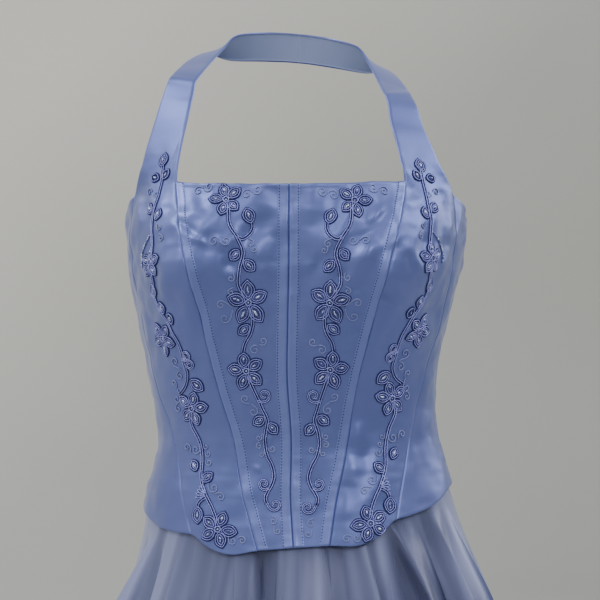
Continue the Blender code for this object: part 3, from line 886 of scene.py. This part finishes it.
FLOWERS = table(
    "across down turn reach",
    (52, 151, -16, 14.5),
    (33, 235, -6, 18.6),
    (34, 291, -15, 16.4),
    (117, 200, 8, 14.5),
    (107, 262, 24, 15.0),
    (83, 320, 6, 15.5),
    (62, 420, 24, 16.0),
)
BUD_FLOWER = 2  # this one's top petal is the bud at the end of its stem
LEAVES = table(
    "across down heading length",
    (33, 164, -18, 13),
    (44, 196, -140, 11.5),
    (32, 205, 135, 12),
    (36, 257, -130, 12),
    (36, 282, 0, 13),
    (26, 333, -125, 11.5),
    (15, 340, 140, 11.5),
    (108, 117, 18, 12.5),
    (116, 130, -60, 10),
    (105, 128, 42, 10),
    (119, 156, -16, 10.5),
    (111, 161, 28, 10.5),
    (115, 223, 172, 13),
    (107, 237, 152, 10.5),
    (99, 246, 145, 10),
    (77, 301, 122, 14),
    (83, 367, -25, 10.5),
    (71, 377, 55, 11.5),
    (79, 408, 177, 14),
)
STEMS = (
    ((50, 155), (48, 172), (42, 182), (37, 195), (40, 207), (41, 220), (35, 231)),
    ((43, 180), (39, 183), (34, 181), (30, 175), (30, 169)),
    ((31, 239), (29, 247), (29, 254), (31, 261), (35, 268), (37, 276)),
    ((33, 294), (30, 303), (26, 313), (22, 324), (19, 333), (21, 342), (22, 354), (20, 363), (16, 371),
     (14, 380), (16, 387), (19, 392), (21, 397), (20, 402)),
    ((108, 121), (110, 136), (113, 150), (116, 164), (115, 187), (116, 197)),
    ((117, 205), (115, 214), (114, 226), (108, 240), (99, 254), (92, 267), (88, 281), (85, 293), (87, 301),
     (93, 308)),
    ((84, 322), (85, 331), (79, 346), (76, 361), (76, 378), (72, 391), (66, 403), (62, 415)),
    ((71, 393), (75, 395), (78, 398), (79, 402)),
)
SPIRALS = table(  # cords that leave a stem and curl up: where, the curl's middle and reach, and its hand
    "from_across from_down across down reach hand",
    (26, 317, 20, 312, 5.4, 1),
    (17, 389, 22, 385.5, 4.9, -1),
    (20, 401, 13, 403, 5.2, 1),
    (90, 280, 86, 276, 4.8, 1),
    (90, 280, 83, 284, 4.2, -1),
)
TENDRILS = table(  # thin threads that curl up: where they start, the curl's middle and reach, and its hand
    "from_across from_down across down reach hand",
    (71.5, 141.5, 76, 143.0, 4.4, 1),
    (71.5, 141.5, 67, 140.0, 4.4, 1),
    (30, 145, 35, 146.5, 4.6, 1),
    (30, 145, 26, 143.0, 4.4, 1),
    (56, 184, 61, 185.0, 4.4, 1),
    (56, 184, 51, 184.5, 4.2, 1),
    (35, 182, 31, 187, 3.0, -1),
    (31, 187, 28, 192, 2.6, 1),
    (45, 239, 55, 236, 3.9, 1),
    (45, 239, 52, 247, 4.4, -1),
    (24, 270, 27, 274, 4.0, 1),
    (24, 270, 20, 267, 3.4, 1),
    (32, 318, 36, 314, 3.6, -1),
    (32, 318, 30, 325, 4.2, -1),
    (24, 343, 27, 347, 2.6, -1),
    (25, 350, 27, 354, 2.6, 1),
    (20, 356, 16, 357, 3.0, 1),
    (23, 358, 25, 361, 2.2, -1),
    (17, 412, 15, 416, 3.4, -1),
    (15, 420, 12, 424, 2.8, 1),
    (45, 210, 47, 215, 2.8, -1),
    (45, 222, 47, 226, 2.6, 1),
    (117, 143, 121, 142, 3.6, 1),
    (117, 143, 114, 144, 3.2, 1),
    (112, 168, 109, 172, 2.6, 1),
    (110, 176, 107, 181, 2.6, -1),
    (90, 286, 96, 281, 4.2, -1),
    (90, 286, 92, 293, 3.4, 1),
    (95, 303, 98, 299, 2.8, 1),
    (95, 303, 96, 312, 3.8, -1),
    (95, 314, 96, 320, 3.0, 1),
    (77, 350, 82, 354, 4.2, -1),
    (86, 356, 90, 352, 3.4, 1),
    (75, 349, 73, 352, 2.4, 1),
    (74, 356, 71, 358, 2.6, 1),
    (74, 362, 70, 365, 2.8, 1),
    (70, 381, 65, 386, 4.4, 1),
    (65, 391, 59, 394, 3.6, -1),
    (54, 425, 50, 430, 3.4, 1),
    (46, 428, 42, 430, 3.4, -1),
)
FAN = (71, 392)  # short loops spread from this place
FAN_HEADINGS = (-96, -78, -60, -42, -24)
FAN_LOOP, FAN_INSET = (2.0, 9.0, 2.6), 0.4  # base, length and width
BEADED_BRANCH = ((117, 177), (122, 184), (126, 194), (126, 204))
WIDER_LEFT = (1.070, -0.0005)  # on the wearer's left the vines lie a little wider, less so further out
LOWER_LEFT = 1.010  # and a little lower
FACES_BACK = 0.3  # a normal of the satin that looks further back than this is turned over


def bvh_of(grids):
    verts, faces = [], []
    for grid in grids:
        faces += grid_faces(*grid.shape[:2], start=len(verts))
        verts += [Vector(p) for p in grid.reshape(-1, 3)]
    return BVHTree.FromPolygons(verts, faces)


class Ground:
    """The satin of one side that the embroidery is sewn to."""

    def __init__(self, tree, side):
        self.tree = tree
        self.side = side
        self.wider, self.lower = (WIDER_LEFT, LOWER_LEFT) if side > 0 else ((1.0, 0.0), 1.0)

    def place(self, across, down):
        """The satin's point and normal at a place, seen from the front."""
        height = -down * self.lower * MM
        reach = self.side * across * (self.wider[0] + self.wider[1] * across) * MM
        if height > SHOULDER_RISE[0]:
            sway, tilt = 0.0, SHOULDER_TILT * share_of(height, *SHOULDER_RISE)
        else:
            sway, tilt = (float(along(FORM, name, np.array(height))) for name in ("sway", "tilt"))
        start = Vector((reach + sway, -1.0, height + tilt * reach))
        point, normal, _, _ = self.tree.ray_cast(start, Vector((0, 1, 0)))
        if point is None:
            point, normal, _, _ = self.tree.find_nearest(start + Vector((0, 0.9, 0)))
        return point, normal if normal.y < 0 else -normal

    def frame(self, across, down):
        """A place with its own directions: away from the centre front, and down."""
        point, normal = self.place(across, down)
        away = Vector((self.side, 0, 0))
        away = (away - normal * away.dot(normal)).normalized()
        down_way = away.cross(normal) if self.side > 0 else normal.cross(away)
        if down_way.z > 0:
            down_way = -down_way
        return point, away, down_way

    def laid(self, points):
        """Points moved onto the satin, with their normals."""
        nearest = [self.tree.find_nearest(Vector(p))[:2] for p in points]
        facing = np.array([normal if normal.y < FACES_BACK else -normal for _, normal in nearest])
        if len(facing) > 4:
            facing[1:-1] = (facing[:-2] + 2 * facing[1:-1] + facing[2:]) / 4
        return np.array([point for point, _ in nearest]), facing

    def motif(self, at, outline):
        """A flat outline, in millimetres away and down from its place, laid on the satin."""
        point, away, down_way = at
        return self.laid([point + away * (a * MM) + down_way * (d * MM) for a, d in outline])


def smooth_line(points, spacing):
    """A smooth curve through points, read at even spacing."""
    points = np.asarray(points, float)
    knots = lengths_along(points)
    return smooth_at(knots, points, np.linspace(0, knots[-1], max(4, int(knots[-1] / spacing) + 1)))


def heading_turn(outline, heading):
    """An outline drawn upwards, as away and up, turned to its heading, as away and down."""
    turn = math.radians(heading)
    out = np.asarray(outline, float)
    sideways, up = out[:, 0], out[:, 1]
    return np.stack([sideways * math.cos(turn) - up * math.sin(turn),
                     -sideways * math.sin(turn) - up * math.cos(turn)], axis=1)


def petal_outline(base, length, width, inset, count=26):
    """A pointed oval that stands on its base, shrunk by inset."""
    turn = np.linspace(0, 2 * math.pi, count, endpoint=False)
    share = (1 - np.cos(turn)) / 2
    fullness = signed_power(np.sin(turn), 1.35 + 0.65 * share) * (1.24 - 0.14 * share)
    tall = base + inset + share**0.92 * (length - 2.1 * inset)
    return np.stack([(width / 2 - inset) * fullness, tall], axis=1)


CURL_CLOSES = 0.84  # how far a curl winds in, as a share of its reach
CURL_LEAD, CURL_STEP = 0.8, 0.7  # the least run in to it, and between its points, in millimetres


def curl_route(start, reach, hand, turns=1.3, count=30):
    """A route from its start that runs into a curl round the origin, as away and down."""
    start = np.asarray(start, float)
    apart = max(np.hypot(*start), reach)
    touch = math.atan2(start[1], start[0]) + hand * math.acos(reach / apart)
    t = np.linspace(0, 1, count)
    radius = reach * (1 - CURL_CLOSES * t**0.9)
    angle = touch + hand * t * turns * 2 * math.pi
    curl = np.stack([radius * np.cos(angle), radius * np.sin(angle)], axis=1)
    if np.hypot(*(curl[0] - start)) > CURL_LEAD:
        curl = np.concatenate([[start], curl])
    return smooth_line(curl, CURL_STEP)


# Cords, in metres
CORD_GIRTH = 0.004  # round a cord, in its own places
TIP, TIP_POINTS = 0.45, 4  # a tapered cord's share of thickness at its tips, and how fast it fills out
RIB = 0.00042  # half the width of one of the braid's two ribs
RIB_TALL = 0.00050
RIB_LIFT = 0.00085  # the ribs' middle over the satin
RIB_APART = 0.00098  # each rib's middle from the braid's own
CURL_APART = 0.00068  # the same where a braid curls up
PETAL_RIB = 0.00038
FAN_RIB = 0.00036
CORE_PAST = 0.00085  # the dark core's reach past the ribs' middles; where it shows beside them it is painted shade
CORE = (0.00040, 0.00025)  # its half height and its lift
# Painted shade: dark lines along a petal's outline and between its cords.
SHADE_LINE = (0.00070, 0.00035, 0.00045)  # half width, half height and lift, and so down to the ring's cord
TENDRIL = (0.00052, 0.00055, 0.00040)
BEAD_THREAD = (0.00036, 0.00036, 0.00030)
RING_CORD = (0.00050, 0.00060, 0.00120)
PETAL_PAD, RING_PAD = 0.00045, 0.00070
PAD_SUNK = 0.0003
PAD_DOME, PAD_TOP = ((1.0, 0.35), (0.8, 0.85), (0.4, 1.0)), 1.05  # shares of its outline and its height
PETAL_BEAD = 0.00100  # radius
RING_BEAD, BRANCH_BEAD = (0.00080, 0.00085), (0.00085, 0.00090)  # radius and half length
STEM_STEP, BEAD_STEP = 0.0016, 0.0021  # between the points of a stem, and between the branch's beads


class Cords:
    """Many cords gathered into one mesh."""

    def __init__(self):
        self.verts, self.faces, self.uvs = [], [], []

    def add(self, points, facing, wide, tall, lift, closed=False, sides=7, taper=False):
        """A cord along points on the satin: its half width, half height and the height of its middle."""
        points, facing = np.asarray(points), np.asarray(facing)
        if closed:
            run = np.roll(points, -1, 0) - np.roll(points, 1, 0)
        else:
            run = np.gradient(points, axis=0)
        across = unit(np.cross(facing, run))
        swell = np.ones(len(points))
        if taper:
            ends = np.minimum(np.arange(len(points)), np.arange(len(points))[::-1])
            swell = np.clip(TIP + ends / TIP_POINTS, 0, 1)
        turn = np.linspace(0, 2 * math.pi, sides, endpoint=False)
        sideways = (wide * swell)[:, None] * np.cos(turn)
        up = lift + (tall * swell)[:, None] * np.sin(turn)
        rings = points[:, None] + across[:, None] * sideways[..., None] + facing[:, None] * up[..., None]
        self.faces += tube_faces(len(points), sides, closed, len(self.verts))
        self.verts += rings.reshape(-1, 3).tolist()
        lengths, girth = lengths_along(points)[:, None], CORD_GIRTH * turn[None, :] / (2 * math.pi)
        self.uvs += np.stack(np.broadcast_arrays(lengths, girth), axis=-1).reshape(-1, 2).tolist()

    def add_pad(self, outline, facing, tall):
        """A low closed dome on the satin inside an outline."""
        base, count = len(self.verts), len(outline)
        middle, up = outline.mean(axis=0), facing.mean(axis=0)
        rows = [outline - facing * PAD_SUNK]
        for share, rise in PAD_DOME:
            rows.append(middle + (outline - middle) * share + facing * tall * rise)
        self.verts += np.concatenate(rows).tolist()
        self.verts += [(middle - up * PAD_SUNK).tolist(), (middle + up * tall * PAD_TOP).tolist()]
        self.uvs += [(0.001 * (k % count), 0.001 * (k // count)) for k in range(4 * count + 2)]
        low, high = base + 4 * count, base + 4 * count + 1
        for k in range(count):
            m = (k + 1) % count
            for first in (base, base + count, base + 2 * count):
                self.faces.append((first + k, first + m, first + count + m, first + count + k))
            self.faces.append((base + m, base + k, low))
            self.faces.append((base + 3 * count + k, base + 3 * count + m, high))

    def piece(self, name, finish):
        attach(add_object(name, self.verts, self.faces, [finish], self.uvs), "dress")


# Petals, in millimetres
LOOPS = (0.65, 2.35)  # a petal's cords, in from its edge
SHADE_LINE_INSETS = (0.10, 1.50)  # its dark lines, in from its edge: painted shade along its outline and in the groove between its cords
SMALL = 11.0  # a leaf shorter than this has no inner cord
RING = 2.4  # the cord round a flower's middle
SPIRAL_TURNS = 1.25
PETAL_WIDTH, LEAF_WIDTH, LEAF_LENGTH = 0.57, 0.72, 1.08  # shares of a flower's reach or a leaf's length
PETAL_MIDDLE, BEAD_SHARE = (0.34, 0.66), 0.19  # where its bead lies, and half the bead's length, as shares
TURN_VARIES, SIZE_VARIES = 5, 0.05  # how unlike a flower's petals are, in degrees and as a share


class Vines:
    """The corded embroidery of one side."""

    def __init__(self, ground, hand):
        self.ground, self.hand = ground, hand
        self.ribs, self.core, self.thread, self.pads = Cords(), Cords(), Cords(), Cords()
        self.beads = []

    def braid(self, points, facing, apart=RIB_APART):
        """Soutache: two round ribs side by side over a dark core, which also paints the shade between and
        beside them.
        """
        across = unit(np.cross(facing, np.gradient(points, axis=0)))
        for way in (-1, 1):
            self.ribs.add(points + way * apart * across, facing, RIB, RIB_TALL, RIB_LIFT, taper=True)
        self.core.add(points, facing, apart + CORE_PAST, *CORE, sides=6)

    def stem(self, route):
        laid = [self.ground.place(a, d)[0] for a, d in route]
        self.braid(*self.ground.laid(smooth_line(laid, STEM_STEP)))

    def outline(self, at, petal, inset):
        """A petal's edge laid on the satin. petal is its base, length, width and heading."""
        *sizes, heading = petal
        return self.ground.motif(at, heading_turn(petal_outline(*sizes, inset), heading))

    def loop(self, at, petal, inset, size):
        self.ribs.add(*self.outline(at, petal, inset), size, RIB_TALL, RIB_LIFT, closed=True)

    def petal(self, at, *petal):
        """Cords one inside another round a padded petal, with a bead along its middle."""
        base, length, _, heading = petal
        for inset in LOOPS[:2 if length > SMALL else 1]:
            self.loop(at, petal, inset, PETAL_RIB)
        # painted shade: dark lines along the petal's outline and in the groove between its cords
        for inset in SHADE_LINE_INSETS:
            self.core.add(*self.outline(at, petal, inset), *SHADE_LINE, closed=True, sides=6)
        self.pads.add_pad(*self.outline(at, petal, 0.0), PETAL_PAD)
        line = heading_turn([(0, base + length * share) for share in PETAL_MIDDLE], heading)
        self.bead(self.ground.motif(at, line), PETAL_BEAD, length * BEAD_SHARE * MM)

    def bead(self, laid, radius, half_length):
        points, facing = laid
        run = points[1] - points[0]
        self.beads.append((points.mean(axis=0), run, facing.mean(axis=0), radius, half_length))

    def flower(self, across, down, turn, reach, petals=range(5)):
        at = self.ground.frame(across, down)
        for k in petals:
            wobble = TURN_VARIES * math.sin(3.1 * k + across)
            size = reach * (1 + SIZE_VARIES + SIZE_VARIES * math.sin(2.3 * k + down))
            self.petal(at, RING - 0.2, size - RING, reach * PETAL_WIDTH, turn + 72 * k + wobble)
        round_it = np.linspace(0, 2 * math.pi, 16, endpoint=False)
        ring = self.ground.motif(at, [(RING * math.cos(t), RING * math.sin(t)) for t in round_it])
        self.ribs.add(*ring, *RING_CORD, closed=True)
        self.pads.add_pad(*ring, RING_PAD)
        self.bead(self.ground.motif(at, [(-0.5, 0), (0.5, 0)]), *RING_BEAD)

    def leaf(self, across, down, heading, length):
        tall = length * LEAF_LENGTH
        self.petal(self.ground.frame(across, down), -tall / 2, tall, length * LEAF_WIDTH, heading)

    def curl(self, from_across, from_down, across, down, *shape):
        """A curl laid on the satin. shape is its reach and hand, and may go on with its turns."""
        start = (from_across - across, from_down - down)
        return self.ground.motif(self.ground.frame(across, down), curl_route(start, *shape))

    def spiral(self, *row):
        *places, reach, hand = row
        self.braid(*self.curl(*places, reach + 0.2, hand, SPIRAL_TURNS), CURL_APART)

    def tendril(self, *row):
        self.thread.add(*self.curl(*row), *TENDRIL, sides=6, taper=True)

    def fan(self):
        at = self.ground.frame(*FAN)
        for heading in FAN_HEADINGS:
            self.loop(at, (*FAN_LOOP, heading), FAN_INSET, FAN_RIB)

    def beaded_branch(self):
        laid = smooth_line([self.ground.place(a, d)[0] for a, d in BEADED_BRANCH], BEAD_STEP)
        points, facing = self.ground.laid(laid)
        self.thread.add(points, facing, *BEAD_THREAD, sides=6)
        for k in range(1, len(points) - 1):
            self.bead((points[k - 1:k + 2:2], facing[k - 1:k + 2:2]), *BRANCH_BEAD)

    def build(self):
        for route in STEMS:
            self.stem(route)
        for number, row in enumerate(zip(*FLOWERS.values())):
            self.flower(*row, petals=range(1, 5) if number == BUD_FLOWER else range(5))
        for make, rows in ((self.leaf, LEAVES), (self.spiral, SPIRALS), (self.tendril, TENDRILS)):
            for row in zip(*rows.values()):
                make(*row)
        self.fan()
        self.beaded_branch()
        self.ribs.piece(f"vine_soutache_{self.hand}", CORD)
        self.core.piece(f"vine_braid_core_{self.hand}", CORE_AND_PAINTED_SHADE)
        self.pads.piece(f"vine_padding_{self.hand}", PADDING)
        self.thread.piece(f"thread_tendrils_{self.hand}", THREAD)
        self.build_beads()

    def build_beads(self):
        """Cut-glass beads, long ovals with slightly flat facets."""
        verts, faces = [], []
        around, levels = 8, np.radians(np.linspace(-90, 90, 7))[1:-1]
        for centre, run, up, radius, half in self.beads:
            run = unit(run)
            up = unit(up - run * up.dot(run))
            across = np.cross(up, run)
            base = len(verts)
            middle = centre + up * radius * 0.95
            verts.append(middle - run * half)
            for level in levels:
                for t in np.linspace(0, 2 * math.pi, around, endpoint=False):
                    ring = across * math.cos(t) + up * math.sin(t)
                    verts.append(middle + run * half * math.sin(level) + ring * radius * math.cos(level))
            verts.append(middle + run * half)
            last = len(verts) - 1
            for k in range(around):
                m = (k + 1) % around
                faces.append((base, base + 1 + m, base + 1 + k))
                for r in range(len(levels) - 1):
                    low = base + 1 + r * around
                    faces.append((low + k, low + m, low + around + m, low + around + k))
                faces.append((last, last - around + k, last - around + m))
        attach(add_object(f"vine_beads_{self.hand}", verts, faces, [BEAD]), "dress")


# Skirt -----------------------------------------------------------------------------------------------------

UNDER_BODICE = -0.415  # below this the fine gathers lean and swing out
SWING_LENGTH = 0.05
GATHER_LEAN, GATHER_OPENS, GATHER_REACH = 1.3, 0.55, 1.5  # degrees to the metre, and shares
WAVES_ROUND, WAVES_DOWN, SMALL_WAVES = 7, 2.2, (2.6, 2.6, 1.6)  # the drape's waves
WAVE_LIFT, WAVE_GROWTH = 0.0015, 0.004
LINING_FOLDS, LINING_TURN, LINING_WAVE_TURN = 0.40, 5, 40  # the lining's share of the large folds; degrees


def fold_shares(height):
    """How far the folds have formed below the join, and how far they have opened out to the hem."""
    start, near_height, hem = FOLD_HEIGHTS
    return share_of(height, start, near_height), share_of(height, near_height, hem)


def fold_offset(degrees, height, folds):
    """How far out the large folds stand at places of the skirt."""
    near_share, far_share = fold_shares(height)
    total = 0.0 * degrees
    for angle, half_width, near, far in zip(*folds.values()):
        shape = np.exp(-((wrap(degrees - angle) / half_width) ** 2))
        total = total + shape * (near + (far - near) * far_share) * near_share
    return total


def drape(turn, level):
    """Long shallow waves of the hanging organza, from -1 to 1."""
    round_it = np.radians(turn)
    places = [WAVES_ROUND * np.cos(round_it), WAVES_ROUND * np.sin(round_it), WAVES_DOWN * level]
    places = np.stack(places, axis=-1)
    return ripple(places, 1.0, 11.0) + 0.5 * ripple(places * SMALL_WAVES, 1.0, 4.0)


def pleats(turn, level):
    """Small gathers that lap over themselves: their shift round the skirt, in degrees, and their lift."""
    near_share, far_share = fold_shares(level)
    spread = 1 - GATHER_OPENS * far_share
    below = np.clip(UNDER_BODICE - level, 0, 1.1)
    shift, lift = 0.0 * turn, 0.0 * turn
    for angle, half_width, near, far, swing in zip(*FINE_FOLDS.values()):
        lean = angle + GATHER_LEAN * math.sin(angle) * below + swing * (1 - np.exp(-below / SWING_LENGTH))
        reach = GATHER_REACH * half_width
        u = wrap(turn - lean) / reach
        hump = np.exp(-(u**2))
        shift = shift - LAP * reach * u * hump * near_share * spread
        rise = 1.6 * near + (far - near) * 0.5 * (1 - spread)
        lift = lift + rise * (1.7 * u * hump + 0.5 * hump) * near_share
    return shift, lift


def skirt_rows(layer, start, stop, heights, columns, folded):
    """Rows of points of one skirt piece, from its join down; a folded one ends in a rolled hem."""
    radius = along(FORM, "half_width", heights)
    edge = np.degrees(SEAM_OPENING / 2 / radius)
    share = np.linspace(0, 1, columns + 1)
    turn = (start + edge)[:, None] + (stop - start - 2 * edge)[:, None] * share
    level = heights[:, None] + 0 * turn
    inset = along(HANG, layer, level)
    if folded:
        mirrored = dict(BACK_FOLDS, angle=-BACK_FOLDS["angle"])
        folds = sum(fold_offset(turn, level, rows) for rows in (FRONT_FOLDS, BACK_FOLDS, mirrored))
        shift, lift = pleats(turn, level)
        waves = WAVE_LIFT + WAVE_GROWTH * np.clip(FOLD_HEIGHTS[1] - level, 0, 1)
        inset = inset - folds - lift - waves * fold_shares(level)[0] * drape(turn, level)
        turn = turn + shift
    else:
        inset = inset - LINING_FOLDS * fold_offset(turn - LINING_TURN, level, FRONT_FOLDS)
        inset = inset - WAVE_LIFT * drape(turn + LINING_WAVE_TURN, level)
    rows = form_point(turn, level, inset)
    if folded:
        outward = normals_of(rows)[-1:]
        curl = np.radians(np.arange(40, 361, 40))[:, None, None]
        rolled = rows[-1:] - HEM_ROLL * outward * (1 - np.cos(curl)) - HEM_ROLL * np.sin(curl) * [0, 0, 1]
        rows = np.concatenate([rows, rolled])
    return rows


SKIRT_CUTS = (  # each piece, where it starts and stops round the skirt, and its organza's width and area
    ("front", -90, 90, 1.25, 1.04),
    ("back_left", 90, 180, 0.66, 0.56),
    ("back_right", 180, 270, 0.66, 0.56),
)
SKIRT_LAYERS = (  # node, cloth, slot, finish, hem, columns to the degree, shares of the cut's width and area
    ("overskirt", "organza", "organza", ORGANZA, HEM, 2.6, 1.0, 1.0),
    ("skirt_lining", "satin", "lining", LINING, LINING_HEM, 1.0, 0.9, 0.8),
)


def build_skirt():
    share = np.linspace(0, 1, 120) ** 1.35
    for name, start, stop, width, area in SKIRT_CUTS:
        for node, stuff, layer, finish, hem, columns, width_share, area_share in SKIRT_LAYERS:
            heights = JOIN + (hem - JOIN) * share
            folded = layer == "organza"
            rows = skirt_rows(layer, start, stop, heights, int(columns * (stop - start)), folded)
            piece = cloth(f"{node}_{name}_{stuff}", rows, [finish])
            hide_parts(f"{node}_{name}")
            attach(piece, "dress")


def finished(name, finish):
    """A node that shows as it is, in a finish."""
    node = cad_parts[name]
    node.data.materials.clear()
    node.data.materials.append(finish)
    return node


COIL_CLEAR, COIL_STEP = (0.004, 0.012), 0.004  # from the tape's bottom and top, and between its points


def build_zip():
    """The zip's tape, slider and pull keep their shapes. The coil is added along the tape's inside."""
    tape = finished("zip_tape", TAPE)
    for name in ("zip_slider", "zip_pull"):
        finished(name, LACQUER)
    points = [tape.matrix_world @ v.co for v in tape.data.vertices]
    tree = BVHTree.FromPolygons(points, [tuple(face.vertices) for face in tape.data.polygons])
    low = min(p.z for p in points) + COIL_CLEAR[0]
    high = max(p.z for p in points) - COIL_CLEAR[1]
    inside, back = Vector((0, AXIS_Y, 0)), Vector((0, 1, 0))
    line = [tree.ray_cast(inside + Vector((0, 0, z)), back)[0] for z in np.arange(low, high, COIL_STEP)]
    line = np.array([p for p in line if p is not None])
    facing = np.tile([0.0, -1.0, 0.0], (len(line), 1))
    verts, faces = stitch_boxes(line, facing, length=0.0008, pitch=0.0014, width=0.0040, height=0.0010)
    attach(add_object("zip_coil", verts, faces, [LACQUER], np.array(verts)[:, [0, 2]]), "dress")


# Studio ----------------------------------------------------------------------------------------------------

LIGHTS = (  # name, place, size across, power and colour
    ("key_left", (-1.9, -0.8, 1.9), 1.2, 22, (1.0, 0.99, 0.97)),
    ("key_right", (2.0, -0.8, 1.9), 1.2, 9, (0.96, 0.98, 1.0)),
    ("front_left", (-0.8, -2.0, 1.6), 1.0, 6, (1.0, 1.0, 1.0)),
    ("front_right", (0.95, -2.1, 1.2), 1.0, 10, (1.0, 1.0, 1.0)),
    ("side_left", (-2.5, 0.2, 1.2), 1.4, 3.5, (1.0, 1.0, 1.0)),
    ("side_right", (2.5, 0.2, 1.5), 1.4, 17, (1.0, 1.0, 1.0)),
    ("back_left", (-2.0, 1.2, 1.4), 1.4, 9, (1.0, 1.0, 1.0)),
    ("back_right", (2.0, 1.2, 0.7), 1.6, 15, (1.0, 1.0, 1.0)),
)
LIT_PLACE = Vector((0, AXIS_Y, -0.35))
AIR, AIR_STRENGTH = (0.94, 0.96, 1.0, 1.0), 0.85
CAMERA_AIM, CAMERA_DISTANCE, CAMERA_AZIMUTH = Vector((0.0045, AXIS_Y, -0.234)), 1.45, 3.0
LENS = 97.6


def build_studio():
    """A round sweep, floor and wall in one, so that it closes the view from every side."""
    bend, wall, sides = 1.6, 6.9, 96
    profile = [(r, 0.0) for r in (0.3, 1.0, 2.5, 4.2, wall - bend)]
    for t in np.radians(range(9, 91, 9)):
        profile.append((wall - bend * (1 - math.sin(t)), bend * (1 - math.cos(t))))
    profile += [(wall, 2.6), (wall, 3.9)]
    turn = np.linspace(0, 2 * math.pi, sides, endpoint=False)
    verts = [(r * math.cos(t), r * math.sin(t), HEM - 0.002 + h) for r, h in profile for t in turn]
    ring = [(k, (k + 1) % sides, sides + (k + 1) % sides, sides + k) for k in range(sides)]
    faces = [tuple(i + sides * row for i in face) for row in range(len(profile) - 1) for face in ring]
    faces.append(tuple(range(sides)))
    sweep = add_object("studio_sweep", verts, faces, [studio_material()])
    world = bpy.data.worlds.new("studio_air")
    bpy.context.scene.world = world
    world.use_nodes = True
    world.node_tree.nodes["Background"].inputs["Color"].default_value = AIR
    world.node_tree.nodes["Background"].inputs["Strength"].default_value = AIR_STRENGTH
    for name, place, size, power, colour in LIGHTS:
        light = bpy.data.lights.new(name, "AREA")
        light.shape = "DISK"
        light.size = size
        light.energy = power
        light.color = colour
        lamp = bpy.data.objects.new(name, light)
        lamp.location = place
        lamp.rotation_euler = (LIT_PLACE - Vector(place)).to_track_quat("-Z", "Y").to_euler()
        lamp.visible_camera = False
        bpy.context.scene.collection.objects.link(lamp)


def build_camera():
    azimuth = math.radians(CAMERA_AZIMUTH)
    camera = bpy.data.objects.new("camera", bpy.data.cameras.new("camera"))
    camera.data.lens = LENS
    camera.data.sensor_width = 36.0
    back = Vector((math.sin(azimuth), -math.cos(azimuth), 0))
    camera.location = CAMERA_AIM + CAMERA_DISTANCE * back
    camera.rotation_euler = (-back).to_track_quat("-Z", "Y").to_euler()
    bpy.context.scene.collection.objects.link(camera)
    bpy.context.scene.camera = camera


build_camera()
build_studio()
satin_grids = build_bodice()
satin_tree = bvh_of(satin_grids)
for side, hand in HANDS:
    Vines(Ground(satin_tree, side), hand).build()
build_skirt()
build_zip()
